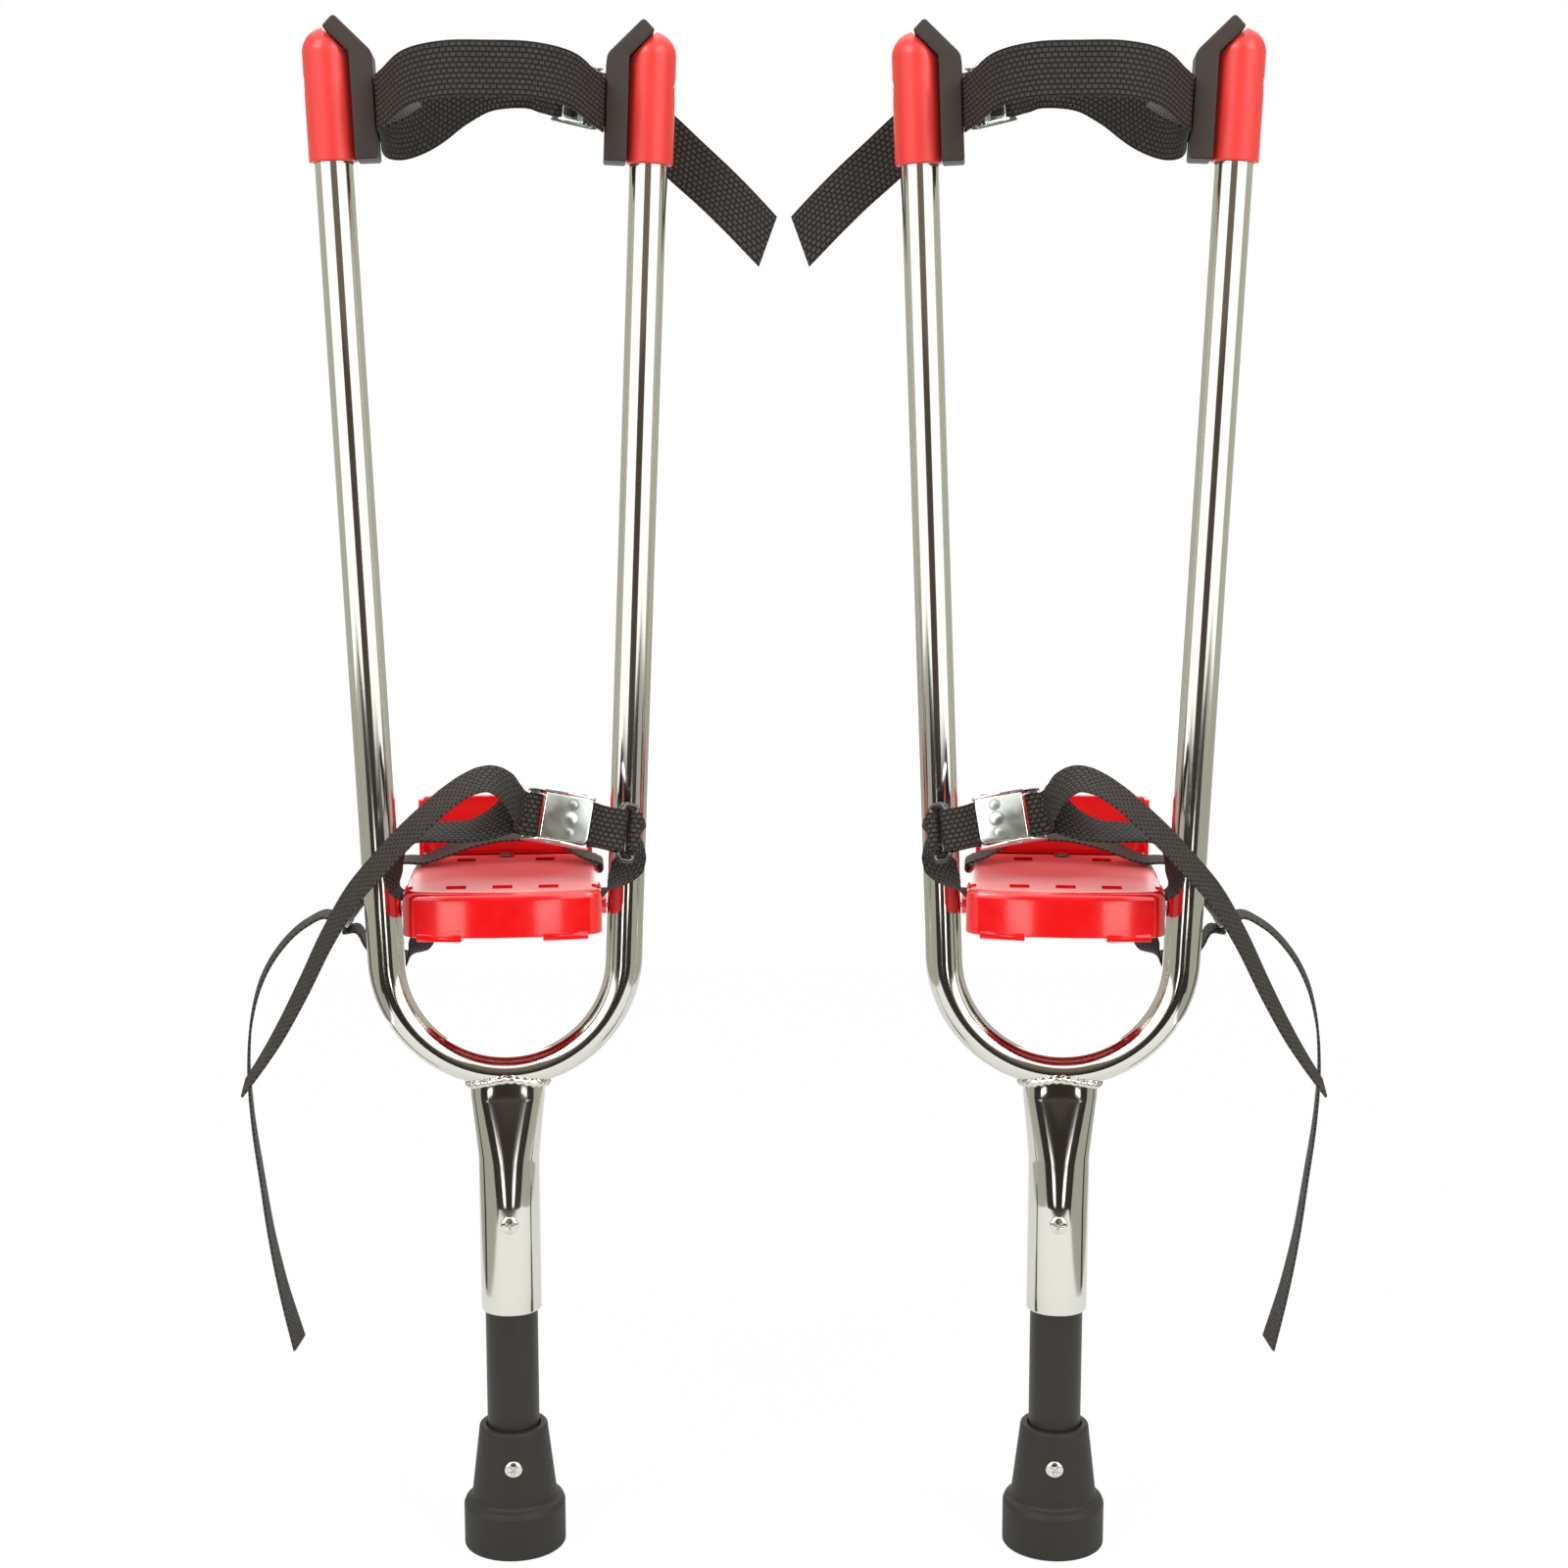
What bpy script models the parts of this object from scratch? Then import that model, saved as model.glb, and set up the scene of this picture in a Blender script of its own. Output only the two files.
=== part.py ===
"""A pair of peg stilts in metres, +Z up, front towards -Y, standing on the floor at z = 0.

Each stilt is a chromed tube bent to a U and welded to a stem. A black peg with a rubber foot stands in
the stem. A red footplate with a heel cup hangs between the uprights, and red caps with rubber knee pads
close the tube. Three webbing straps with cam buckles hold the leg: at the knee, the toes and the ankle.
The right stilt is the mirror image of the left one.
"""

import math

import bmesh
import bpy
import numpy as np
from mathutils import Matrix, Vector

# How the pair stands
STILT_SPACING = 0.333
TOE_IN_DEG = 5.0
PAIR_SETBACK = 0.00859

# Clearances
FIT_GAP = 0.0003
SLIDE_GAP = 0.0004

# Rubber foot, from the floor up
FOOT_HEIGHT = 0.077
FOOT_RIM_RADIUS = 0.0207
FOOT_WAIST_RADIUS = 0.0262
COLLAR_RADIUS = 0.0311
COLLAR_HEIGHT = 0.0285
FOOT_FLOOR = 0.009
FOOT_MOUTH = 0.0016
FOOT_SCREW_HEIGHT = 0.056

# Black peg tube
PEG_DIAMETER = 0.0318
PEG_WALL = 0.0018
PEG_EXPOSED = 0.074
PEG_INSERTION = 0.066

# Chromed stem
STEM_WALL = 0.0020
STEM_LENGTH = 0.139
STEM_TOP_WIDTH = 0.0446
STEM_TOP_DEPTH = 0.0180
STEM_SQUASHED_LENGTH = 0.072
STEM_RIM = 0.0012
STEM_SCREW_HEIGHT = 0.058
WELD_RADIUS = 0.0025

# Chromed U frame
TUBE_DIAMETER = 0.0222
TUBE_WALL = 0.0015
BEND_RADIUS = 0.0707
BEND_SQUASH = 0.88
BEND_SWELL = 0.35
SPLAY_DEG = 2.28
UPRIGHT_LENGTH = 0.523

# Pan-head screws
SCREW_SHANK_RADIUS = 0.0022
SCREW_HEAD_RADIUS = 0.0054
SCREW_HEAD_HEIGHT = 0.0026
CAP_SCREW_HEAD_RADIUS = 0.0036
CAP_SCREW_HEAD_HEIGHT = 0.0012
CAP_SCREW_SHANK_RADIUS = 0.0016
SCREW_GRIP = 0.0022

# Footplate
PLATE_RISE = 0.051
PLATE_WIDTH = 0.1100
PLATE_FRONT = 0.062
PLATE_BACK = 0.0625
PLATE_BOW = 0.004
PLATE_CORNER = 0.008
PLATE_HEIGHT = 0.0265
PLATE_TOP = 0.003
PLATE_WALL = 0.0025
PLATE_EDGE = 0.0012
PLATE_FOOT_DROP = 0.0022
PLATE_FOOT_LENGTH = 0.026
SLOT_WIDTH = 0.0115
SLOT_DEPTH = 0.0105
SLOT_PITCH = 0.0265
FRONT_SLOT_Y = -0.048
REAR_SLOT_Y = 0.040
NOTCH_WIDTH = 0.0055
BOSS_RADIUS = 0.006
STRAP_SLOT_LENGTH = 0.027
STRAP_SLOT_HEIGHT = 0.0065
TOE_SLOT_Y = -0.038
ANKLE_SLOT_Y = 0.0275
PLATE_BOLT_DROP = 0.0205

# Heel cup
HEEL_WIDTH = 0.1058
HEEL_RISE = 0.036
HEEL_WALL = 0.003
HEEL_CORNER = 0.009
HEEL_RETURN = 0.016
HEEL_TONGUE_WIDTH = 0.056
HEEL_TONGUE_LENGTH = 0.024

# Caps and knee pads
CAP_RADIUS = 0.0140
CAP_BORE_DEPTH = 0.0585
CAP_SCREW_HEIGHT = 0.043
PAD_SINK = 0.0010
PAD_THICKNESS = 0.0128
PAD_DEPTH = 0.030
PAD_HEIGHT = 0.0585
PAD_TIP_LENGTH = 0.0203
PAD_TIP_THICKNESS = 0.0094
PAD_TIP_DEG = 44.0
PAD_EDGE = 0.0012

# Webbing
KNEE_WEB_WIDTH = 0.030
FOOT_WEB_WIDTH = 0.025
WEB_THICKNESS = 0.0016
WEB_CLEARANCE = 0.00035
WEB_STEP = 0.008
WEB_TWIST_DEG = 5.0
WEB_CUT_DEG = 25.0

# Cam buckles, measured from the lever's pin
BUCKLE_SIDE_GAP = 0.0012
BUCKLE_SHEET = 0.0015
BUCKLE_PIN_RADIUS = 0.0018
BUCKLE_PIN_GAP = 0.0003
BUCKLE_HUB_RADIUS = 0.0038
BUCKLE_DROP = 0.0042
BUCKLE_FRONT = 0.015
BUCKLE_BAR_LENGTH = 0.006
BUCKLE_BAR_THICKNESS = 0.002
BUCKLE_REAR = 0.021
BUCKLE_REAR_BAR_RADIUS = 0.0020
BUCKLE_CHEEK_RISE = 0.0038
LEVER_LENGTH = 0.0222
LEVER_THICKNESS = 0.0015

# Wire ring of the toe strap
RING_WIRE_RADIUS = 0.0015
RING_SPAN = 0.0090
RING_CORNER = 0.0030

ROUND_STEPS = 20
SMALL_STEPS = 12
TUBE_SIDES = 14
BEND_STEPS = 16

# Colours, roughness and metallic value
CHROME = ("chromed_steel", (0.78, 0.78, 0.76), 0.08, 1.0)
ZINC = ("zinc_plated_steel", (0.62, 0.64, 0.65), 0.28, 1.0)
BLACK_STEEL = ("blackened_steel", (0.03, 0.03, 0.03), 0.35, 1.0)
BLACK_PAINT = ("satin_black_tube", (0.035, 0.032, 0.03), 0.45, 0.0)
RUBBER = ("black_rubber", (0.035, 0.032, 0.03), 0.62, 0.0)
RED = ("red_moulding", (0.72, 0.012, 0.015), 0.18, 0.0)
PAD_RUBBER = ("grey_black_rubber", (0.045, 0.042, 0.039), 0.66, 0.0)
WEBBING = ("black_webbing", (0.022, 0.020, 0.018), 0.85, 0.0)

# Heights and radii that follow from the sizes above
tube_radius = TUBE_DIAMETER / 2
peg_radius = PEG_DIAMETER / 2
stem_bore = peg_radius + SLIDE_GAP
stem_radius = stem_bore + STEM_WALL
stem_bottom = FOOT_HEIGHT + PEG_EXPOSED
bend_bottom = stem_bottom + STEM_LENGTH
bend_centre = bend_bottom + tube_radius * BEND_SQUASH + BEND_RADIUS
plate_top = bend_centre + PLATE_RISE
plate_half = PLATE_WIDTH / 2
splay = math.radians(SPLAY_DEG)

PARTS = bpy.data.collections.new("peg_stilts")
TOOLS = bpy.data.collections.new("peg_stilts_cutters")


def clear_scene():
    """Remove what the scene holds and link the two collections."""
    for old in list(bpy.data.objects):
        bpy.data.objects.remove(old, do_unlink=True)
    bpy.context.scene.collection.children.link(PARTS)
    bpy.context.scene.collection.children.link(TOOLS)


def material(finish):
    """One Principled material for each finish, shared by its pieces."""
    name, colour, roughness, metallic = finish
    if name in bpy.data.materials:
        return bpy.data.materials[name]
    made = bpy.data.materials.new(name)
    made.use_nodes = True
    shader = made.node_tree.nodes["Principled BSDF"]
    shader.inputs["Base Color"].default_value = (*colour, 1.0)
    shader.inputs["Roughness"].default_value = roughness
    shader.inputs["Metallic"].default_value = metallic
    made.diffuse_color = (*colour, 1.0)
    return made


def add_part(name, mesh, finish, parent):
    """Put a mesh into the part's collection under its parent empty."""
    mesh.name = name
    mesh.materials.clear()
    mesh.materials.append(material(finish))
    part = bpy.data.objects.new(name, mesh)
    part.parent = parent
    PARTS.objects.link(part)
    mesh.shade_smooth()
    mesh.set_sharp_from_angle(angle=math.radians(35))
    return part


def add_tool(name, mesh, parent):
    """A cutter or an addition for a Boolean, never part of the object."""
    tool = bpy.data.objects.new(name, mesh)
    tool.parent = parent
    tool.hide_render = True
    tool.display_type = "WIRE"
    TOOLS.objects.link(tool)
    return tool


def add_empty(name, parent, place):
    """An empty at a place, which is a matrix under the parent."""
    empty = bpy.data.objects.new(name, None)
    empty.parent = parent
    empty.matrix_local = place
    empty.empty_display_size = 0.02
    PARTS.objects.link(empty)
    return empty


def combine(part, tool, operation):
    """Cut or join a tool with an exact Boolean."""
    boolean = part.modifiers.new(tool.name, "BOOLEAN")
    boolean.operation = operation
    boolean.object = tool
    boolean.solver = "EXACT"


def bevel(part, width, segments=1):
    """Round the sharp edges."""
    rounding = part.modifiers.new("rounded_edges", "BEVEL")
    rounding.width = width
    rounding.segments = segments
    rounding.limit_method = "ANGLE"
    rounding.angle_limit = math.radians(40)


def box_mesh(low, high):
    """A cube stretched between two corners."""
    low, high = Vector(low), Vector(high)
    size = high - low
    mesh = bpy.data.meshes.new("box")
    shape = bmesh.new()
    stretch = Matrix.LocRotScale((low + high) / 2, None, size)
    bmesh.ops.create_cube(shape, size=1.0, matrix=stretch)
    shape.to_mesh(mesh)
    shape.free()
    return mesh


def rod_mesh(radius, start, end, steps=SMALL_STEPS):
    """A closed cylinder between two points."""
    start, end = Vector(start), Vector(end)
    run = end - start
    turn = run.to_track_quat("Z", "Y").to_matrix().to_4x4()
    mesh = bpy.data.meshes.new("rod")
    shape = bmesh.new()
    bmesh.ops.create_cone(
        shape, cap_ends=True, segments=steps, radius1=radius, radius2=radius,
        depth=run.length, matrix=Matrix.Translation((start + end) / 2) @ turn,
    )
    shape.to_mesh(mesh)
    shape.free()
    return mesh


def outline_mesh(outline, thickness):
    """A flat outline in the XY plane, extruded to a thickness along Z, made from a filled 2D curve."""
    curve = bpy.data.curves.new("outline", "CURVE")
    curve.dimensions = "2D"
    curve.fill_mode = "BOTH"
    curve.extrude = thickness / 2
    spline = curve.splines.new("POLY")
    spline.points.add(len(outline) - 1)
    for point, (x, y) in zip(spline.points, outline):
        point.co = (x, y, 0.0, 1.0)
    spline.use_cyclic_u = True
    holder = bpy.data.objects.new("outline", curve)
    TOOLS.objects.link(holder)
    graph = bpy.context.evaluated_depsgraph_get()
    mesh = bpy.data.meshes.new_from_object(holder.evaluated_get(graph))
    shape = bmesh.new()
    shape.from_mesh(mesh)
    bmesh.ops.remove_doubles(shape, verts=shape.verts, dist=0.000001)
    bmesh.ops.recalc_face_normals(shape, faces=shape.faces)
    shape.to_mesh(mesh)
    shape.free()
    bpy.data.objects.remove(holder, do_unlink=True)
    return mesh


def turned_part(name, profile, finish, parent, steps=ROUND_STEPS, closed=False):
    """A profile of (radius, height) points turned about Z by a Screw modifier, outer side first."""
    mesh = bpy.data.meshes.new(name)
    shape = bmesh.new()
    verts = [shape.verts.new((radius, 0.0, height)) for radius, height in profile]
    ends = verts[1:] + verts[:1] if closed else verts[1:]
    for start, end in zip(verts, ends):
        shape.edges.new((start, end))
    shape.to_mesh(mesh)
    shape.free()
    part = add_part(name, mesh, finish, parent)
    screw = part.modifiers.new("turned", "SCREW")
    screw.steps = steps
    screw.render_steps = steps
    screw.use_merge_vertices = True
    screw.merge_threshold = 0.00001
    return part


def loft_mesh(rings, closed):
    """Faces between rings of equal count. An open loft gets end caps, a closed one meets itself."""
    shape = bmesh.new()
    rows = [[shape.verts.new(point) for point in ring] for ring in rings]
    count = len(rows[0])
    pairs = list(zip(rows, rows[1:]))
    if closed:
        pairs.append((rows[-1], rows[0]))
    for low, high in pairs:
        for i in range(count):
            j = (i + 1) % count
            shape.faces.new((low[i], low[j], high[j], high[i]))
    if not closed:
        shape.faces.new(rows[0])
        shape.faces.new(rows[-1])
    bmesh.ops.recalc_face_normals(shape, faces=shape.faces)
    mesh = bpy.data.meshes.new("loft")
    shape.to_mesh(mesh)
    shape.free()
    return mesh


def arc(centre, radius, start_deg, end_deg, steps):
    """Points of a circular arc as (x, y) pairs."""
    angles = np.radians(np.linspace(start_deg, end_deg, steps + 1))
    return [(centre[0] + radius * math.cos(a), centre[1] + radius * math.sin(a)) for a in angles]


def smooth_path(points, across, closed):
    """A smooth curve through points, sampled by WEB_STEP and WEB_TWIST_DEG, and each sample's place."""
    points = np.array(points, dtype=float)
    count = len(points)
    if closed:
        points = np.vstack([points[-3:], points, points[:3]])
        across = np.vstack([across[-3:], across, across[:3]])
    across = across / np.linalg.norm(across, axis=1, keepdims=True)
    twist = np.degrees(np.arccos(np.clip(np.sum(across[:-1] * across[1:], axis=1), -1, 1)))
    spans = np.linalg.norm(np.diff(points, axis=0), axis=1)
    run = np.concatenate([[0.0], np.cumsum(spans)])
    slope = np.gradient(points, run, axis=0)
    first = 3 if closed else 0
    last = first + count if closed else first + count - 1
    samples, places = [], []
    for i in range(first, last):
        pieces = max(1, round(spans[i] / WEB_STEP), math.ceil(twist[i] / WEB_TWIST_DEG))
        for t in np.arange(pieces) / pieces:
            h00, h10 = 2 * t**3 - 3 * t**2 + 1, t**3 - 2 * t**2 + t
            h01, h11 = 3 * t**2 - 2 * t**3, t**3 - t**2
            samples.append(h00 * points[i] + h01 * points[i + 1]
                           + spans[i] * (h10 * slope[i] + h11 * slope[i + 1]))
            places.append(i - first + t)
    if not closed:
        samples.append(points[last])
        places.append(count - 1.0)
    return np.array(samples), np.array(places)


def ribbon_mesh(route, width, closed=False, cut_deg=0.0):
    """Flat webbing along a route of (point, direction across) pairs, its free end cut at an angle."""
    points = [point for point, _ in route]
    across = np.array([direction for _, direction in route], dtype=float)
    for i in range(1, len(across)):
        across[i] *= math.copysign(1.0, across[i] @ across[i - 1])
    path, places = smooth_path(points, across, closed)
    if closed:
        across = np.vstack([across, across[:1]])
    index = np.arange(len(across))
    across = np.stack([np.interp(places, index, across[:, axis]) for axis in range(3)], axis=1)
    if closed:
        ahead = np.roll(path, -1, axis=0) - np.roll(path, 1, axis=0)
    else:
        ahead = np.gradient(path, axis=0)
    ahead /= np.linalg.norm(ahead, axis=1, keepdims=True)
    across -= np.sum(across * ahead, axis=1, keepdims=True) * ahead
    across /= np.linalg.norm(across, axis=1, keepdims=True)
    normal = np.cross(ahead, across)
    side = across * width / 2
    face = normal * WEB_THICKNESS / 2
    corners = (side + face, face - side, -side - face, side - face)
    rings = np.stack([path + corner for corner in corners], axis=1)
    left = np.append(np.cumsum(np.linalg.norm(np.diff(path[::-1], axis=0), axis=1))[::-1], 0.0)
    slant = math.copysign(math.tan(math.radians(cut_deg)) * width / 2, across[-1][2])
    lead = slant * np.clip(1 - left / width, 0, 1)[:, None] * ahead
    rings += lead[:, None, :] * np.array([-1.0, 1.0, 1.0, -1.0])[None, :, None]
    return loft_mesh(rings, closed)


def placed_axes(place, along, across):
    """A matrix at a place whose X runs along and whose Y lies across, made square."""
    along = Vector(along).normalized()
    across = Vector(across)
    across = (across - across.dot(along) * along).normalized()
    facing = along.cross(across)
    turn = Matrix((along, across, facing)).transposed()
    return Matrix.Translation(place) @ turn.to_4x4()


def upright_axis(sign, height):
    """Point on an upright's axis, by its height along the tube above the end of the bend."""
    x = BEND_RADIUS * math.cos(splay) + height * math.sin(splay)
    z = bend_centre - BEND_RADIUS * math.sin(splay) + height * math.cos(splay)
    return Vector((sign * x, 0.0, z))


def bend_underside(x, y, extra):
    """Height of the bend's underside at a plan point, on a section swollen by extra."""
    lean = math.asin(max(-1.0, min(1.0, x / BEND_RADIUS)))
    flat = 1 - (1 - BEND_SQUASH) * math.cos(lean)
    high = tube_radius * flat + extra
    wide = tube_radius * (1 + BEND_SWELL * (1 - flat)) + extra
    drop = high * math.sqrt(max(0.0, 1 - (y / wide) ** 2))
    return bend_centre - math.sqrt((BEND_RADIUS + drop) ** 2 - x**2)


class Stilt:
    """One stilt: its name, its empty and the side that faces away from its twin."""

    def __init__(self, prefix, mirror):
        self.prefix = prefix
        self.mirror = mirror
        turn = Matrix.Rotation(mirror * math.radians(TOE_IN_DEG), 4, "Z")
        place = Matrix.Translation((-mirror * STILT_SPACING / 2, PAIR_SETBACK, 0.0)) @ turn
        self.base = add_empty(f"{prefix}_stilt", None, place)
        self.uprights = {"outer": -mirror, "inner": mirror}

    def name(self, piece):
        return f"{self.prefix}_{piece}"

    def point(self, x, y, z):
        """A point given for the left stilt, mirrored for the right one."""
        return Vector((self.mirror * x, y, z))

    def axes(self, place, along, across):
        """Axes given for the left stilt. The mirrored ones turn their width round to stay right-handed."""
        mirrored_across = self.point(*across) * self.mirror
        return placed_axes(self.point(*place), self.point(*along), mirrored_across)

    def mirrored(self, route):
        """A route given for the left stilt."""
        return [(self.point(*point), self.point(*across)) for point, across in route]


def screw_part(stilt, name, finish, parent, grip, head_radius, head_height, shank_radius):
    """Pan-head screw along -Z from its seat at z = 0, with its head above."""
    dome = [(head_radius * math.sin(a), head_height * (0.35 + 0.65 * math.cos(a)))
            for a in np.radians([0, 35, 65, 90])]
    profile = [*dome, (head_radius, 0.0), (shank_radius, 0.0), (shank_radius, -grip), (0.0, -grip)]
    return turned_part(stilt.name(name), profile, finish, parent, SMALL_STEPS)


def build_peg(stilt):
    """Rubber foot, black peg tube and the screw that pins them."""
    mouth = peg_radius + FIT_GAP
    rim = FOOT_HEIGHT
    profile = [
        (mouth + FOOT_MOUTH, rim),
        (FOOT_RIM_RADIUS - 0.0015, rim),
        (FOOT_RIM_RADIUS, rim - 0.002),
        (FOOT_WAIST_RADIUS, COLLAR_HEIGHT + 0.003),
        (COLLAR_RADIUS - 0.003, COLLAR_HEIGHT),
        (COLLAR_RADIUS, COLLAR_HEIGHT - 0.003),
        (COLLAR_RADIUS, 0.0012),
        (COLLAR_RADIUS - 0.0012, 0.0),
        (0.0, 0.0),
    ]
    socket = [(0.0, FOOT_FLOOR - FIT_GAP), (mouth, FOOT_FLOOR - FIT_GAP), (mouth, rim - 2 * FOOT_MOUTH)]
    foot = turned_part(stilt.name("rubber_foot"), profile + socket, RUBBER, stilt.base, closed=True)
    inner = peg_radius - PEG_WALL
    top = stem_bottom + PEG_INSERTION
    outline = [(peg_radius, top), (peg_radius, FOOT_FLOOR), (inner, FOOT_FLOOR), (inner, top)]
    peg = turned_part(stilt.name("peg_tube"), outline, BLACK_PAINT, stilt.base, closed=True)
    taper = (FOOT_HEIGHT - 0.002 - FOOT_SCREW_HEIGHT) / (FOOT_HEIGHT - COLLAR_HEIGHT - 0.005)
    seat = FOOT_RIM_RADIUS + taper * (FOOT_WAIST_RADIUS - FOOT_RIM_RADIUS) - FIT_GAP
    grip = seat - inner + SCREW_GRIP
    place = placed_axes((0.0, -seat, FOOT_SCREW_HEIGHT), (1, 0, 0), (0, 0, 1))
    holder = add_empty(stilt.name("foot_screw_seat"), stilt.base, place)
    screw_part(stilt, "foot_screw", CHROME, holder, grip,
               SCREW_HEAD_RADIUS, SCREW_HEAD_HEIGHT, SCREW_SHANK_RADIUS)
    hole = rod_mesh(SCREW_SHANK_RADIUS + FIT_GAP, (0, -2 * seat, FOOT_SCREW_HEIGHT),
                    (0, -inner / 2, FOOT_SCREW_HEIGHT))
    drill = add_tool(stilt.name("foot_screw_hole"), hole, stilt.base)
    combine(foot, drill, "DIFFERENCE")
    combine(peg, drill, "DIFFERENCE")
    pocket = rod_mesh(SCREW_HEAD_RADIUS + FIT_GAP, (0, -seat + FIT_GAP, FOOT_SCREW_HEIGHT),
                      (0, -2 * seat, FOOT_SCREW_HEIGHT))
    combine(foot, add_tool(stilt.name("foot_screw_pocket"), pocket, stilt.base), "DIFFERENCE")


def stem_ring(height, half_width, half_depth, sides=TUBE_SIDES * 2):
    """One oval section of the stem. A height of None follows the underside of the bend."""
    ring = []
    for a in np.linspace(0, 2 * math.pi, sides, endpoint=False):
        x, y = half_width * math.cos(a), half_depth * math.sin(a)
        z = bend_underside(x, y, FIT_GAP) if height is None else height
        ring.append((x, y, z))
    return ring


def build_stem(stilt):
    """Stem tube squashed towards its top, its weld to the bend and its screw."""
    squash_start = bend_bottom - STEM_SQUASHED_LENGTH
    half_width, half_depth = STEM_TOP_WIDTH / 2, STEM_TOP_DEPTH / 2
    outer = [stem_ring(stem_bottom, stem_radius - STEM_RIM, stem_radius - STEM_RIM),
             stem_ring(stem_bottom + STEM_RIM, stem_radius, stem_radius)]
    inner = [stem_ring(stem_bottom, stem_bore, stem_bore)]
    for share in np.linspace(0, 1, 7):
        height = None if share == 1 else squash_start + share * (STEM_SQUASHED_LENGTH - 0.004)
        wide = stem_radius + max(0.0, share - 0.4) / 0.6 * (half_width - stem_radius)
        deep = stem_radius + share**1.4 * (half_depth - stem_radius)
        outer.append(stem_ring(height, wide, deep))
        inner.append(stem_ring(height, wide - STEM_WALL, deep - STEM_WALL))
    mesh = loft_mesh(outer + inner[::-1], closed=True)
    stem = add_part(stilt.name("stem_tube"), mesh, CHROME, stilt.base)
    reach = WELD_RADIUS + WEB_CLEARANCE
    rings = []
    for a in np.linspace(0, 2 * math.pi, 28, endpoint=False):
        out = Vector((math.cos(a), math.sin(a), 0.0))
        x, y = (half_width + reach) * out.x, (half_depth + reach) * out.y
        centre = Vector((x, y, bend_underside(x, y, reach)))
        rings.append([centre + WELD_RADIUS * (math.cos(b) * out + math.sin(b) * Vector((0, 0, 1)))
                      for b in np.linspace(0, 2 * math.pi, 6, endpoint=False)])
    add_part(stilt.name("weld_bead"), loft_mesh(rings, closed=True), CHROME, stilt.base)
    seat = stem_radius + FIT_GAP
    height = stem_bottom + STEM_SCREW_HEIGHT
    holder = add_empty(stilt.name("stem_screw_seat"), stilt.base,
                       placed_axes((0.0, -seat, height), (1, 0, 0), (0, 0, 1)))
    grip = seat - peg_radius - FIT_GAP
    screw_part(stilt, "stem_screw", CHROME, holder, grip,
               SCREW_HEAD_RADIUS, SCREW_HEAD_HEIGHT, SCREW_SHANK_RADIUS)
    hole = rod_mesh(SCREW_SHANK_RADIUS + FIT_GAP, (0, -2 * seat, height), (0, -stem_bore / 2, height))
    combine(stem, add_tool(stilt.name("stem_screw_hole"), hole, stilt.base), "DIFFERENCE")


def bend_sections():
    """Centre, in-plane direction and flattening of each section of the U, from one end to the other."""
    reach = math.pi / 2 - splay
    sections = [(upright_axis(-1, UPRIGHT_LENGTH), -reach, 1.0)]
    for lean in np.linspace(-reach, reach, BEND_STEPS + 1):
        centre = Vector((BEND_RADIUS * math.sin(lean), 0.0, bend_centre - BEND_RADIUS * math.cos(lean)))
        sections.append((centre, lean, 1 - (1 - BEND_SQUASH) * math.cos(lean)))
    sections.append((upright_axis(1, UPRIGHT_LENGTH), reach, 1.0))
    return sections


def tube_rings(inset):
    """Rings of the U's outer or inner wall."""
    rings = []
    for centre, lean, flat in bend_sections():
        outward = Vector((math.sin(lean), 0.0, -math.cos(lean)))
        high = tube_radius * flat - inset
        wide = tube_radius * (1 + BEND_SWELL * (1 - flat)) - inset
        rings.append([centre + high * math.cos(a) * outward + Vector((0.0, wide * math.sin(a), 0.0))
                      for a in np.linspace(0, 2 * math.pi, TUBE_SIDES, endpoint=False)])
    return rings


def build_frame(stilt):
    """The bent tube, drilled for the screws of the caps and of the footplate."""
    mesh = loft_mesh(tube_rings(0.0) + tube_rings(TUBE_WALL)[::-1], closed=True)
    frame = add_part(stilt.name("u_frame"), mesh, CHROME, stilt.base)
    for label, sign in stilt.uprights.items():
        bolt = Vector((sign * plate_half, 0.0, plate_top - PLATE_BOLT_DROP))
        far = bolt + Vector((sign * (BEND_RADIUS - plate_half), 0.0, 0.0))
        hole = rod_mesh(SCREW_SHANK_RADIUS + FIT_GAP, bolt, far)
        combine(frame, add_tool(stilt.name(f"plate_hole_{label}"), hole, stilt.base), "DIFFERENCE")
        cap = stilt.cap_frames[label]
        start = (sign * CAP_RADIUS * 2, 0.0, CAP_SCREW_HEIGHT)
        end = (sign * tube_radius / 2, 0.0, CAP_SCREW_HEIGHT)
        hole = rod_mesh(CAP_SCREW_SHANK_RADIUS + FIT_GAP, start, end)
        combine(frame, add_tool(stilt.name(f"cap_hole_{label}"), hole, cap), "DIFFERENCE")


def plate_outline(inset, back):
    """Plan of the footplate with round front corners and a bowed front, drawn inset from its edge."""
    half = plate_half - inset
    corner = PLATE_CORNER - inset
    front = PLATE_FRONT - inset
    left = arc((-half + corner, -front + corner), corner, 180, 262, 4)
    bow = [(x, -front - PLATE_BOW * (1 - (x / half) ** 2)) for x in np.linspace(-half / 2, half / 2, 5)]
    right = arc((half - corner, -front + corner), corner, 278, 360, 4)
    return [*left, *bow, *right, (half, back), (-half, back)]


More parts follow.
